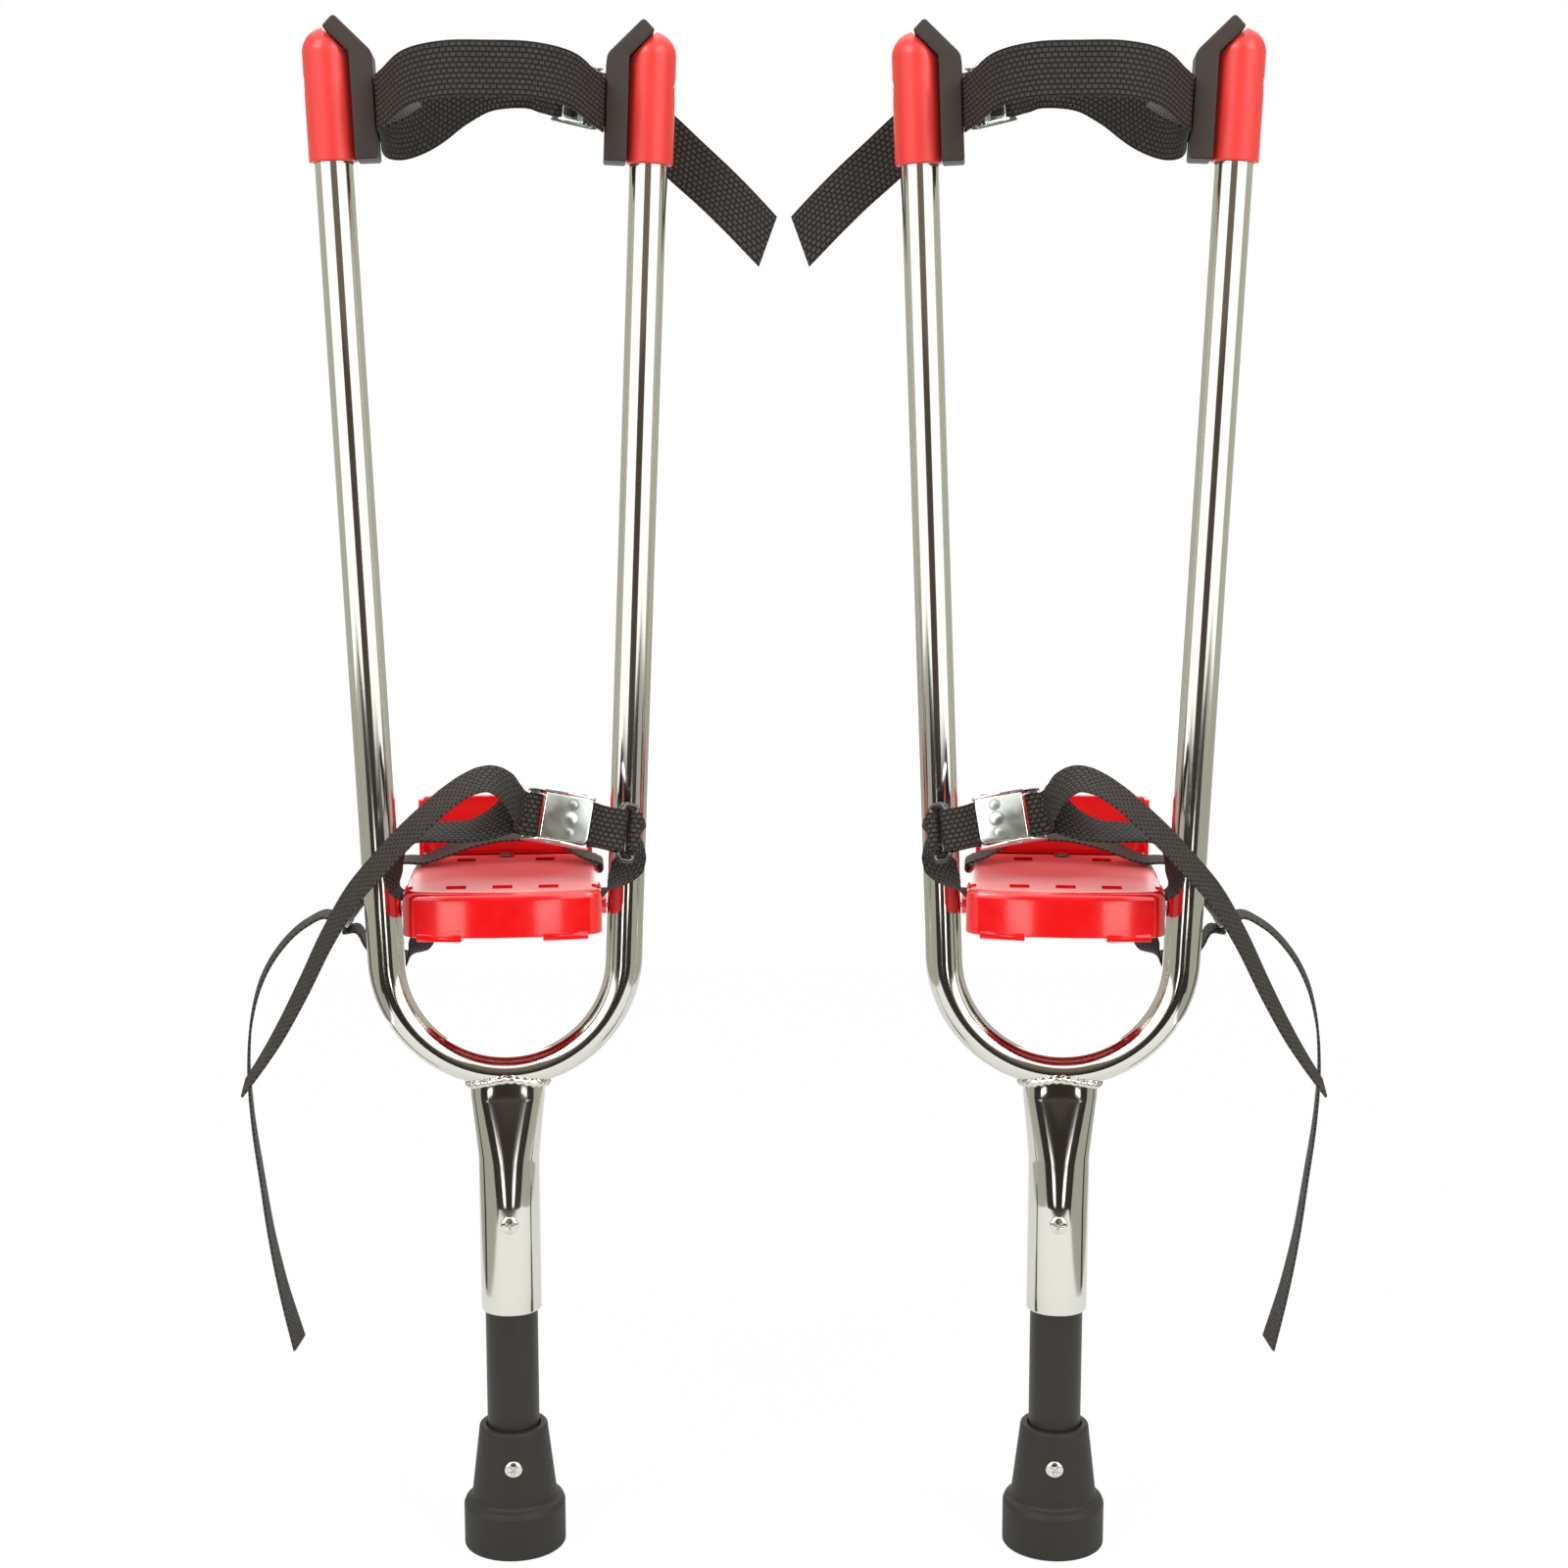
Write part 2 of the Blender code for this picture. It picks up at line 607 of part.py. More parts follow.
def build_plate(stilt):
    """Red tray with its slots, strap openings, lower front tabs and side bosses, and its two screws."""
    middle = plate_top - PLATE_HEIGHT / 2
    mesh = outline_mesh(plate_outline(0.0, PLATE_BACK), PLATE_HEIGHT)
    mesh.transform(Matrix.Translation((0, 0, middle)))
    plate = add_part(stilt.name("footplate"), mesh, RED, stilt.base)
    bevel(plate, PLATE_EDGE)
    hollow = outline_mesh(plate_outline(PLATE_WALL, PLATE_BACK * 2), PLATE_HEIGHT)
    hollow.transform(Matrix.Translation((0, 0, middle - PLATE_TOP)))
    combine(plate, add_tool(stilt.name("plate_hollow"), hollow, stilt.base), "DIFFERENCE")
    slots = [(x * SLOT_PITCH, FRONT_SLOT_Y, SLOT_WIDTH) for x in (-1, 0, 1)]
    slots += [(x * SLOT_PITCH * 0.9, REAR_SLOT_Y, SLOT_WIDTH) for x in (-1, 1)]
    slots += [(side * plate_half, FRONT_SLOT_Y, NOTCH_WIDTH * 2) for side in (-1, 1)]
    for number, (x, y, wide) in enumerate(slots):
        slot = box_mesh((x - wide / 2, y - SLOT_DEPTH / 2, plate_top - 2 * PLATE_TOP),
                        (x + wide / 2, y + SLOT_DEPTH / 2, plate_top + PLATE_TOP))
        combine(plate, add_tool(stilt.name(f"plate_slot_{number}"), slot, stilt.base), "DIFFERENCE")
    openings = [(-1, TOE_SLOT_Y), (1, TOE_SLOT_Y), (stilt.mirror, ANKLE_SLOT_Y)]
    for number, (side, y) in enumerate(openings):
        ends = sorted((side * (plate_half - 2 * PLATE_WALL), side * (plate_half + PLATE_WALL)))
        slot = box_mesh((ends[0], y - STRAP_SLOT_LENGTH / 2, plate_top - PLATE_TOP - STRAP_SLOT_HEIGHT),
                        (ends[1], y + STRAP_SLOT_LENGTH / 2, plate_top - PLATE_TOP))
        combine(plate, add_tool(stilt.name(f"strap_slot_{number}"), slot, stilt.base), "DIFFERENCE")
    low = plate_top - PLATE_HEIGHT
    for side in (-1, 1):
        outer_end = plate_half - PLATE_CORNER
        ends = sorted((side * outer_end, side * (outer_end - PLATE_FOOT_LENGTH)))
        tab = box_mesh((ends[0], -PLATE_FRONT - PLATE_BOW * 0.1, low - PLATE_FOOT_DROP),
                       (ends[1], -PLATE_FRONT + PLATE_WALL * 0.7, low + PLATE_FOOT_DROP))
        combine(plate, add_tool(stilt.name(f"plate_tab_{side}"), tab, stilt.base), "UNION")
    height = plate_top - PLATE_BOLT_DROP
    touch = upright_axis(1, 0.0).x + (height - bend_centre) * math.tan(splay)
    boss_end = touch - tube_radius / math.cos(splay) - BOSS_RADIUS * math.tan(splay) - FIT_GAP
    for label, sign in stilt.uprights.items():
        boss = rod_mesh(BOSS_RADIUS, (sign * (plate_half - PLATE_WALL / 2), 0, height),
                        (sign * boss_end, 0, height))
        combine(plate, add_tool(stilt.name(f"plate_boss_{label}"), boss, stilt.base), "UNION")
        bore = rod_mesh(SCREW_SHANK_RADIUS + FIT_GAP, (sign * plate_half / 2, 0, height),
                        (sign * BEND_RADIUS, 0, height))
        combine(plate, add_tool(stilt.name(f"plate_bore_{label}"), bore, stilt.base), "DIFFERENCE")
        seat = plate_half - PLATE_WALL - FIT_GAP
        place = placed_axes((sign * seat, 0.0, height), (0, 1, 0), (0, 0, -sign))
        holder = add_empty(stilt.name(f"plate_screw_seat_{label}"), stilt.base, place)
        grip = touch - tube_radius + TUBE_WALL + SCREW_GRIP - seat
        screw_part(stilt, f"footplate_screw_{label}", ZINC, holder, grip,
                   SCREW_HEAD_RADIUS, SCREW_HEAD_HEIGHT, SCREW_SHANK_RADIUS)


def build_heel(stilt):
    """Heel cup behind the plate, with the tongue under the plate's top and the screw that holds it."""
    half = HEEL_WIDTH / 2
    back = PLATE_BACK + FIT_GAP + HEEL_WALL
    front = back - HEEL_RETURN
    base = plate_top - PLATE_HEIGHT
    rise = PLATE_HEIGHT + HEEL_RISE
    low = plate_top + FIT_GAP
    inner = HEEL_CORNER - HEEL_WALL
    outline = [(half, front), *arc((half - HEEL_CORNER, back - HEEL_CORNER), HEEL_CORNER, 0, 90, 4),
               *arc((-half + HEEL_CORNER, back - HEEL_CORNER), HEEL_CORNER, 90, 180, 4), (-half, front),
               (-half + HEEL_WALL, front),
               *arc((-half + HEEL_CORNER, back - HEEL_CORNER), inner, 180, 90, 4),
               *arc((half - HEEL_CORNER, back - HEEL_CORNER), inner, 90, 0, 4), (half - HEEL_WALL, front)]
    mesh = outline_mesh(outline, HEEL_RISE)
    mesh.transform(Matrix.Translation((0, 0, low + HEEL_RISE / 2)))
    cup = add_part(stilt.name("heel_cup"), mesh, RED, stilt.base)
    wall = box_mesh((-half + HEEL_CORNER, back - HEEL_WALL, base),
                    (half - HEEL_CORNER, back, base + rise - HEEL_RISE / 2))
    combine(cup, add_tool(stilt.name("heel_wall"), wall, stilt.base), "UNION")
    tongue_top = plate_top - PLATE_TOP - FIT_GAP
    tongue = box_mesh((-HEEL_TONGUE_WIDTH / 2, back - HEEL_TONGUE_LENGTH, tongue_top - HEEL_WALL),
                      (HEEL_TONGUE_WIDTH / 2, back - HEEL_WALL / 2, tongue_top))
    combine(cup, add_tool(stilt.name("heel_tongue"), tongue, stilt.base), "UNION")
    at = (0.0, back - HEEL_TONGUE_LENGTH * 0.55, plate_top + FIT_GAP)
    holder = add_empty(stilt.name("heel_screw_seat"), stilt.base, Matrix.Translation(at))
    grip = PLATE_TOP + 2 * FIT_GAP + HEEL_WALL + SCREW_GRIP
    screw_part(stilt, "heel_screw", BLACK_STEEL, holder, grip,
               SCREW_HEAD_RADIUS * 0.9, SCREW_HEAD_HEIGHT * 0.6, SCREW_SHANK_RADIUS)
    hole = rod_mesh(SCREW_SHANK_RADIUS + FIT_GAP, (*at[:2], base), (*at[:2], plate_top + PLATE_TOP))
    drill = add_tool(stilt.name("heel_screw_hole"), hole, stilt.base)
    combine(cup, drill, "DIFFERENCE")
    combine(bpy.data.objects[stilt.name("footplate")], drill, "DIFFERENCE")


def pad_faces():
    """The pad's two faces as (inward, height) points: the face on the cap, then the face on the knee."""
    near = CAP_RADIUS - PAD_SINK
    far = near + PAD_THICKNESS
    lean = math.radians(PAD_TIP_DEG)
    tip = Vector((-math.sin(lean), math.cos(lean))) * PAD_TIP_LENGTH
    knee = Vector((near, PAD_HEIGHT))
    thick = Vector((math.cos(lean), math.sin(lean))) * PAD_TIP_THICKNESS
    shoulder = PAD_HEIGHT + PAD_TIP_THICKNESS / math.sin(lean) - PAD_THICKNESS / math.tan(lean)
    on_cap = [(near, 0.0), tuple(knee), tuple(knee + tip)]
    on_knee = [tuple(knee + tip + thick), (far, shoulder), (far, 0.0)]
    return on_cap, on_knee


def prism_across(points, depth, inward):
    """An outline of (inward, height) points, extruded along Y about the cap's middle."""
    mesh = outline_mesh([(inward * x, z) for x, z in points], depth)
    mesh.transform(Matrix.Rotation(math.pi / 2, 4, "X"))
    return mesh


def build_cap(stilt, label):
    """Domed cap on one end of the U, its knee pad and its screw."""
    sign = stilt.uprights[label]
    holder = stilt.cap_frames[label]
    bore = tube_radius + FIT_GAP
    crown = CAP_BORE_DEPTH + 0.0015
    turns = np.radians([0, 22, 45, 68, 90])
    dome = [(CAP_RADIUS * math.sin(a), crown + CAP_RADIUS * math.cos(a)) for a in turns]
    profile = [*dome, (CAP_RADIUS, 0.0), (bore, 0.0), (bore, CAP_BORE_DEPTH), (0.0, CAP_BORE_DEPTH)]
    cap = turned_part(stilt.name(f"cap_{label}"), profile, RED, holder)
    on_cap, on_knee = pad_faces()
    step = FIT_GAP / math.sin(math.radians(PAD_TIP_DEG))
    foot, corner, tip = on_cap
    clear = [(foot[0] - step, -CAP_RADIUS), (corner[0] - step - PAD_EDGE / 2, corner[1]),
             (tip[0] - step, tip[1])]
    beyond = CAP_BORE_DEPTH * 3
    cutter = prism_across([*clear, (clear[-1][0], beyond), (beyond, beyond), (beyond, -CAP_RADIUS)],
                          CAP_RADIUS * 4, -sign)
    clear_side = add_tool(stilt.name(f"cap_flat_{label}"), cutter, holder)
    combine(cap, clear_side, "DIFFERENCE")
    pad = add_part(stilt.name(f"knee_pad_{label}"), prism_across(on_cap + on_knee, PAD_DEPTH, -sign),
                   PAD_RUBBER, holder)
    bevel(pad, PAD_EDGE)
    seat = CAP_RADIUS - CAP_SCREW_HEAD_HEIGHT
    recess = rod_mesh(CAP_SCREW_HEAD_RADIUS + FIT_GAP, (sign * (seat - FIT_GAP), 0, CAP_SCREW_HEIGHT),
                      (sign * CAP_RADIUS * 2, 0, CAP_SCREW_HEIGHT))
    combine(cap, add_tool(stilt.name(f"cap_recess_{label}"), recess, holder), "DIFFERENCE")
    shaft = rod_mesh(CAP_SCREW_SHANK_RADIUS + FIT_GAP, (sign * bore / 2, 0, CAP_SCREW_HEIGHT),
                     (sign * CAP_RADIUS, 0, CAP_SCREW_HEIGHT))
    combine(cap, add_tool(stilt.name(f"cap_shaft_{label}"), shaft, holder), "DIFFERENCE")
    place = placed_axes((sign * seat, 0.0, CAP_SCREW_HEIGHT), (0, 1, 0), (0, 0, sign))
    screw_holder = add_empty(stilt.name(f"cap_screw_seat_{label}"), holder, place)
    grip = seat - tube_radius + TUBE_WALL + SCREW_GRIP / 2
    screw_part(stilt, f"cap_screw_{label}", ZINC, screw_holder, grip,
               CAP_SCREW_HEAD_RADIUS, CAP_SCREW_HEAD_HEIGHT, CAP_SCREW_SHANK_RADIUS)


def add_cap_frames(stilt):
    """Empties on the uprights' axes at the lower rims of the caps."""
    height = UPRIGHT_LENGTH - CAP_BORE_DEPTH + FIT_GAP
    stilt.cap_frames = {}
    for label, sign in stilt.uprights.items():
        place = Matrix.Translation(upright_axis(sign, height)) @ Matrix.Rotation(sign * splay, 4, "Y")
        stilt.cap_frames[label] = add_empty(stilt.name(f"cap_{label}_axis"), stilt.base, place)


def bar_wrap_radius(bar_radius):
    """Radius of the web's middle where it turns round a bar."""
    return bar_radius + WEB_CLEARANCE + WEB_THICKNESS / 2


def wrap(axes, centre_x, centre_z, radius, start_deg, end_deg, steps=6):
    """Route points round a bar that lies across the axes, by angle from +X towards +Z."""
    across = axes.to_3x3() @ Vector((0, 1, 0))
    turn = arc((centre_x, centre_z), radius, start_deg, end_deg, steps)
    return [(axes @ Vector((x, 0.0, z)), across) for x, z in turn]


def on_axes(axes, points):
    """Route points in a buckle's or ring's own plane."""
    across = axes.to_3x3() @ Vector((0, 1, 0))
    return [(axes @ Vector((x, 0.0, z)), across) for x, z in points]


def edge_turn(depth):
    """Route points over the side edge of the footplate's top and back in below it."""
    radius = PLATE_TOP / 2 + 2 * WEB_CLEARANCE + WEB_THICKNESS / 2
    turn = arc((plate_half - PLATE_EDGE, plate_top - PLATE_TOP / 2), radius, 80, -80, 6)
    return [((x, depth, z), (0.0, 1.0, 0.0)) for x, z in turn]


def front_bar_turn(axes):
    """The web coming in behind the buckle's front bar and going out in front of it."""
    edge = -BUCKLE_FRONT + BUCKLE_BAR_LENGTH
    radius = bar_wrap_radius(BUCKLE_BAR_THICKNESS / 2)
    lead = on_axes(axes, [(-BUCKLE_FRONT - 0.005, -BUCKLE_DROP - radius * 1.15)])
    turn = wrap(axes, edge - FIT_GAP, -BUCKLE_DROP, radius, -90, 90)
    exit_point = on_axes(axes, [(-BUCKLE_FRONT - 0.001, -BUCKLE_DROP + radius * 1.3)])
    return lead + turn + exit_point


def rear_bar_turn(axes):
    """The sewn end of a web round the buckle's rear bar."""
    radius = bar_wrap_radius(BUCKLE_REAR_BAR_RADIUS)
    pinch = WEB_THICKNESS / 2 + WEB_CLEARANCE
    sewn = (BUCKLE_REAR + 0.009, BUCKLE_REAR + 0.014)
    flap = on_axes(axes, [(x, -BUCKLE_DROP + pinch) for x in reversed(sewn)])
    turn = wrap(axes, BUCKLE_REAR, -BUCKLE_DROP, radius, 90, 270)
    out = on_axes(axes, [(x, -BUCKLE_DROP - pinch) for x in sewn])
    return flap + turn + out


def build_buckle(stilt, piece, axes, web_width):
    """Cam buckle: a frame of two cheeks, two bars and a rivet pin, and the lever that turns on the pin."""
    holder = add_empty(stilt.name(f"{piece}_buckle_pin"), stilt.base, axes)
    inside = web_width / 2 + BUCKLE_SIDE_GAP
    outside = inside + BUCKLE_SHEET
    rim = BUCKLE_SHEET / 3
    low = -BUCKLE_DROP - BUCKLE_REAR_BAR_RADIUS - rim
    rear = BUCKLE_REAR + BUCKLE_REAR_BAR_RADIUS + rim
    front = -BUCKLE_FRONT - rim
    cheek = [(front, low), (rear, low), (rear, low + 2 * (BUCKLE_REAR_BAR_RADIUS + rim)),
             (BUCKLE_HUB_RADIUS * 2, BUCKLE_CHEEK_RISE), (-BUCKLE_HUB_RADIUS * 1.8, BUCKLE_CHEEK_RISE),
             (front, -BUCKLE_DROP + BUCKLE_BAR_THICKNESS)]

    def cheek_mesh(side):
        mesh = outline_mesh(cheek, BUCKLE_SHEET)
        middle = Matrix.Translation((0, side * (inside + BUCKLE_SHEET / 2), 0))
        mesh.transform(middle @ Matrix.Rotation(math.pi / 2, 4, "X"))
        return mesh

    frame = add_part(stilt.name(f"{piece}_buckle_frame"), cheek_mesh(-1), ZINC, holder)
    combine(frame, add_tool(stilt.name(f"{piece}_cheek"), cheek_mesh(1), holder), "UNION")
    reach = inside + BUCKLE_SHEET / 2
    half_bar = BUCKLE_BAR_THICKNESS / 2
    bar = box_mesh((-BUCKLE_FRONT, -reach, -BUCKLE_DROP - half_bar),
                   (-BUCKLE_FRONT + BUCKLE_BAR_LENGTH, reach, -BUCKLE_DROP + half_bar))
    bar_ends = [(BUCKLE_REAR, end, -BUCKLE_DROP) for end in (-reach, reach)]
    rear_bar = rod_mesh(BUCKLE_REAR_BAR_RADIUS, *bar_ends, 8)
    pin_end = outside + BUCKLE_SHEET / 2
    pin = rod_mesh(BUCKLE_PIN_RADIUS, (0, -pin_end, 0), (0, pin_end, 0), 10)
    for label, mesh in (("front_bar", bar), ("rear_bar", rear_bar), ("rivet", pin)):
        combine(frame, add_tool(stilt.name(f"{piece}_{label}"), mesh, holder), "UNION")
    half = inside - BUCKLE_SIDE_GAP / 2
    radius = bar_wrap_radius(BUCKLE_BAR_THICKNESS / 2)
    nose = -BUCKLE_FRONT + BUCKLE_BAR_LENGTH + radius + WEB_THICKNESS / 2 + FIT_GAP
    top = BUCKLE_HUB_RADIUS - 0.0004
    hub = arc((0, 0), BUCKLE_HUB_RADIUS, -110, 20, 5)
    profile = [*hub, (LEVER_LENGTH, top - LEVER_THICKNESS), (LEVER_LENGTH, top), (nose + 0.001, top),
               (nose, -BUCKLE_DROP / 2)]
    mesh = outline_mesh(profile, 2 * half)
    mesh.transform(Matrix.Rotation(math.pi / 2, 4, "X"))
    lever = add_part(stilt.name(f"{piece}_buckle_lever"), mesh, ZINC, holder)
    bore = rod_mesh(BUCKLE_PIN_RADIUS + BUCKLE_PIN_GAP, (0, -2 * half, 0), (0, 2 * half, 0), 10)
    combine(lever, add_tool(stilt.name(f"{piece}_lever_bore"), bore, holder), "DIFFERENCE")


def pad_point(stilt, label, y, height):
    """Middle of the web on a pad's face, at a depth and a height above the cap's rim."""
    sign = stilt.uprights[label]
    inward = CAP_RADIUS - PAD_SINK + PAD_THICKNESS + 2 * WEB_CLEARANCE + WEB_THICKNESS / 2
    return stilt.cap_frames[label].matrix_local @ Vector((-sign * inward, y, height))


def build_knee_strap(stilt):
    """Knee webbing: from its buckle round behind the leg, along both pads, into the buckle, and its tail."""
    rim = upright_axis(1, UPRIGHT_LENGTH - CAP_BORE_DEPTH).z
    axes = stilt.axes((0.0543, 0.0452, rim + 0.044), (-0.62, 0.75, 0.22), (0.05, -0.10, 1.0))
    build_buckle(stilt, "knee", axes, KNEE_WEB_WIDTH)
    up = (0.0, 0.0, 1.0)
    rear = [
        ((0.0235, 0.0732, rim + 0.0540), (0.05, -0.1, 1.0)),
        ((0.0090, 0.0730, rim + 0.0545), (0.1, -0.1, 1.0)),
        ((-0.0080, 0.0700, rim + 0.0510), (0.2, -0.1, 1.0)),
        ((-0.0220, 0.0660, rim + 0.0425), (0.3, -0.05, 1.0)),
        ((-0.0340, 0.0600, rim + 0.0320), (0.3, 0.0, 1.0)),
        ((-0.0460, 0.0510, rim + 0.0240), (0.15, 0.0, 1.0)),
        ((-0.0548, 0.0395, rim + 0.0205), up),
        ((-0.0607, 0.0265, rim + 0.0205), up),
    ]
    front = [
        ((-0.0619, -0.0215, rim + 0.0318), up),
        ((-0.0572, -0.0300, rim + 0.0345), up),
        ((-0.0450, -0.0475, rim + 0.0415), up),
        ((-0.0245, -0.0620, rim + 0.0445), up),
        ((0.0, -0.0670, rim + 0.0445), up),
        ((0.0245, -0.0620, rim + 0.0445), up),
        ((0.0450, -0.0475, rim + 0.0415), up),
        ((0.0572, -0.0300, rim + 0.0345), up),
        ((0.0619, -0.0215, rim + 0.0318), up),
    ]
    tail = [
        ((0.0735, 0.0262, rim + 0.0370), (0.1, 0.0, 1.0)),
        ((0.0825, 0.0268, rim + 0.0315), (0.2, 0.0, 1.0)),
        ((0.0940, 0.0300, rim + 0.0220), (0.4, 0.0, 1.0)),
        ((0.1120, 0.0320, rim + 0.0060), (0.55, 0.1, 0.9)),
        ((0.1320, 0.0310, rim - 0.0120), (0.65, 0.2, 0.75)),
        ((0.1460, 0.0290, rim - 0.0260), (0.67, 0.25, 0.72)),
        ((0.1600, 0.0276, rim - 0.0406), (0.68, 0.3, 0.72)),
    ]
    reach = PAD_DEPTH / 2 + WEB_THICKNESS
    stations = (reach, reach / 3, -reach / 3, -reach)
    route = rear_bar_turn(axes) + stilt.mirrored(rear)
    for label, middle, slope in (("outer", 0.0263, -0.28), ("inner", 0.0325, 0.13)):
        tilted = stilt.cap_frames[label].matrix_local.to_3x3() @ Vector(up)
        along = [(pad_point(stilt, label, y, middle + slope * y), tilted) for y in stations]
        route += along if label == "outer" else along[::-1]
        if label == "outer":
            route += stilt.mirrored(front)
    route += front_bar_turn(axes) + stilt.mirrored(tail)
    mesh = ribbon_mesh(route, KNEE_WEB_WIDTH, cut_deg=WEB_CUT_DEG)
    add_part(stilt.name("knee_strap"), mesh, WEBBING, stilt.base)


def build_toe_strap(stilt):
    """Toe webbing: from its ring through the plate, up over the toes, through the buckle, and its tail."""
    lying = (0.0, 1.0, 0.0)
    across = (0.0, 0.34, 0.94)
    axes = stilt.axes((0.0290, -0.056, plate_top + 0.042), (0.975, 0.0, -0.18), across)
    build_buckle(stilt, "toe", axes, FOOT_WEB_WIDTH)
    ring_axes = stilt.axes((0.0725, -0.045, plate_top + 0.030), (0.90, 0.30, -0.25), across)
    build_ring(stilt, ring_axes, axes)
    radius = bar_wrap_radius(RING_WIRE_RADIUS)
    start = on_axes(ring_axes, [(RING_SPAN / 2 + 0.002, radius)])
    start += wrap(ring_axes, RING_SPAN / 2, 0.0, radius, 90, 270)
    start += on_axes(ring_axes, [(RING_SPAN / 2 + 0.0035, -radius)])
    inside = plate_top - PLATE_TOP - STRAP_SLOT_HEIGHT / 2
    anchor = [
        ((0.0838, -0.0390, plate_top + 0.0262), (0.0, 0.60, 0.80)),
        ((0.0868, -0.0382, plate_top + 0.0220), (0.08, 0.85, 0.50)),
        ((0.0868, -0.0376, plate_top + 0.0150), (0.15, 0.96, 0.15)),
        ((0.0830, -0.0374, plate_top + 0.0080), (0.22, 0.97, 0.03)),
        ((0.0772, -0.0375, plate_top + 0.0025), (0.2, 0.98, 0.0)),
        ((0.0700, -0.0378, plate_top - 0.0020), (0.15, 0.98, 0.0)),
        ((0.0630, TOE_SLOT_Y, plate_top - 0.0050), (0.05, 1.0, 0.0)),
        ((plate_half, TOE_SLOT_Y, inside), lying),
        ((0.0300, TOE_SLOT_Y, inside), lying),
        ((-0.0300, TOE_SLOT_Y, inside), lying),
        ((-plate_half, TOE_SLOT_Y, inside), lying),
    ]
    over = [
        ((-0.0600, -0.0382, plate_top - 0.0030), (0.1, 1.0, 0.0)),
        ((-0.0620, -0.0388, plate_top + 0.0055), (0.28, 0.95, 0.05)),
        ((-0.0615, -0.0400, plate_top + 0.0175), (0.32, 0.93, 0.12)),
        ((-0.0575, -0.0415, plate_top + 0.0275), (0.25, 0.95, 0.2)),
        ((-0.0480, -0.0435, plate_top + 0.0335), (0.1, 0.95, 0.35)),
        ((-0.0340, -0.0455, plate_top + 0.0345), (0.0, 0.9, 0.5)),
        ((-0.0180, -0.0465, plate_top + 0.0350), (0.0, 0.88, 0.5)),
        ((-0.0060, -0.0478, plate_top + 0.0378), (0.0, 0.70, 0.7)),
    ]
    tail = [
        ((0.0080, -0.0608, plate_top + 0.0495), (-0.02, 0.42, 0.90)),
        ((0.0020, -0.0655, plate_top + 0.0555), (-0.1, 0.58, 0.81)),
        ((-0.0055, -0.0685, plate_top + 0.0592), (-0.15, 0.72, 0.67)),
        ((-0.0130, -0.0703, plate_top + 0.0592), (-0.18, 0.82, 0.53)),
        ((-0.0215, -0.0716, plate_top + 0.0560), (-0.2, 0.87, 0.43)),
        ((-0.0360, -0.0735, plate_top + 0.0468), (-0.25, 0.89, 0.37)),
        ((-0.0500, -0.0750, plate_top + 0.0355), (-0.28, 0.90, 0.32)),
        ((-0.0660, -0.0760, plate_top + 0.0215), (-0.3, 0.91, 0.28)),
        ((-0.0810, -0.0760, plate_top + 0.0050), (-0.3, 0.92, 0.24)),
        ((-0.0970, -0.0748, plate_top - 0.0210), (-0.28, 0.94, 0.19)),
        ((-0.1130, -0.0730, plate_top - 0.0530), (-0.25, 0.95, 0.16)),
        ((-0.1270, -0.0702, plate_top - 0.0790), (-0.2, 0.97, 0.13)),
        ((-0.1390, -0.0675, plate_top - 0.0980), (-0.12, 0.98, 0.1)),
        ((-0.1480, -0.0655, plate_top - 0.1110), (-0.08, 0.99, 0.06)),
    ]
    route = start + stilt.mirrored(anchor + over) + front_bar_turn(axes) + stilt.mirrored(tail)
    add_part(stilt.name("toe_strap"), ribbon_mesh(route, FOOT_WEB_WIDTH), WEBBING, stilt.base)


def build_ring(stilt, ring_axes, buckle_axes):
    """Wire ring of the toe strap, and the doubled web that ties it to the buckle."""
    holder = add_empty(stilt.name("toe_ring_middle"), stilt.base, ring_axes)
    half_span = RING_SPAN / 2
    half_long = FOOT_WEB_WIDTH / 2 + 2 * BUCKLE_SIDE_GAP + RING_WIRE_RADIUS
    path = []
    for (sx, sy), start in zip(((1, 1), (-1, 1), (-1, -1), (1, -1)), (0, 90, 180, 270)):
        corner = (sx * (half_span - RING_CORNER), sy * (half_long - RING_CORNER))
        turn = arc(corner, RING_CORNER, start, start + 90, 2)
        path += [(*point, start + share * 90) for point, share in zip(turn, (0, 0.5, 1))]
    rings = []
    up = Vector((0, 0, 1))
    for x, y, angle in path:
        out = Vector((math.cos(math.radians(angle)), math.sin(math.radians(angle)), 0.0))
        rings.append([Vector((x, y, 0.0)) + RING_WIRE_RADIUS * (math.cos(b) * out + math.sin(b) * up)
                      for b in np.linspace(0, 2 * math.pi, 8, endpoint=False)])
    add_part(stilt.name("toe_ring"), loft_mesh(rings, closed=True), BLACK_STEEL, holder)
    pinch = WEB_THICKNESS / 2 + WEB_CLEARANCE
    near = wrap(buckle_axes, BUCKLE_REAR, -BUCKLE_DROP, bar_wrap_radius(BUCKLE_REAR_BAR_RADIUS), 255, 70)
    far = wrap(ring_axes, -half_span, 0.0, bar_wrap_radius(RING_WIRE_RADIUS), 90, -90)
    ends = (buckle_axes @ Vector((BUCKLE_REAR, 0, -BUCKLE_DROP)), ring_axes @ Vector((-half_span, 0, 0)))
    across = ring_axes.to_3x3() @ Vector((0, 1, 0))
    facing = (ends[1] - ends[0]).cross(across).normalized()
    front = [(ends[0].lerp(ends[1], share) + pinch * facing, across) for share in (0.38, 0.66)]
    behind = [(ends[0].lerp(ends[1], share) - pinch * facing, across) for share in (0.66, 0.38)]
    mesh = ribbon_mesh(near + front + far + behind, FOOT_WEB_WIDTH, closed=True)
    add_part(stilt.name("toe_ring_strap"), mesh, WEBBING, stilt.base)


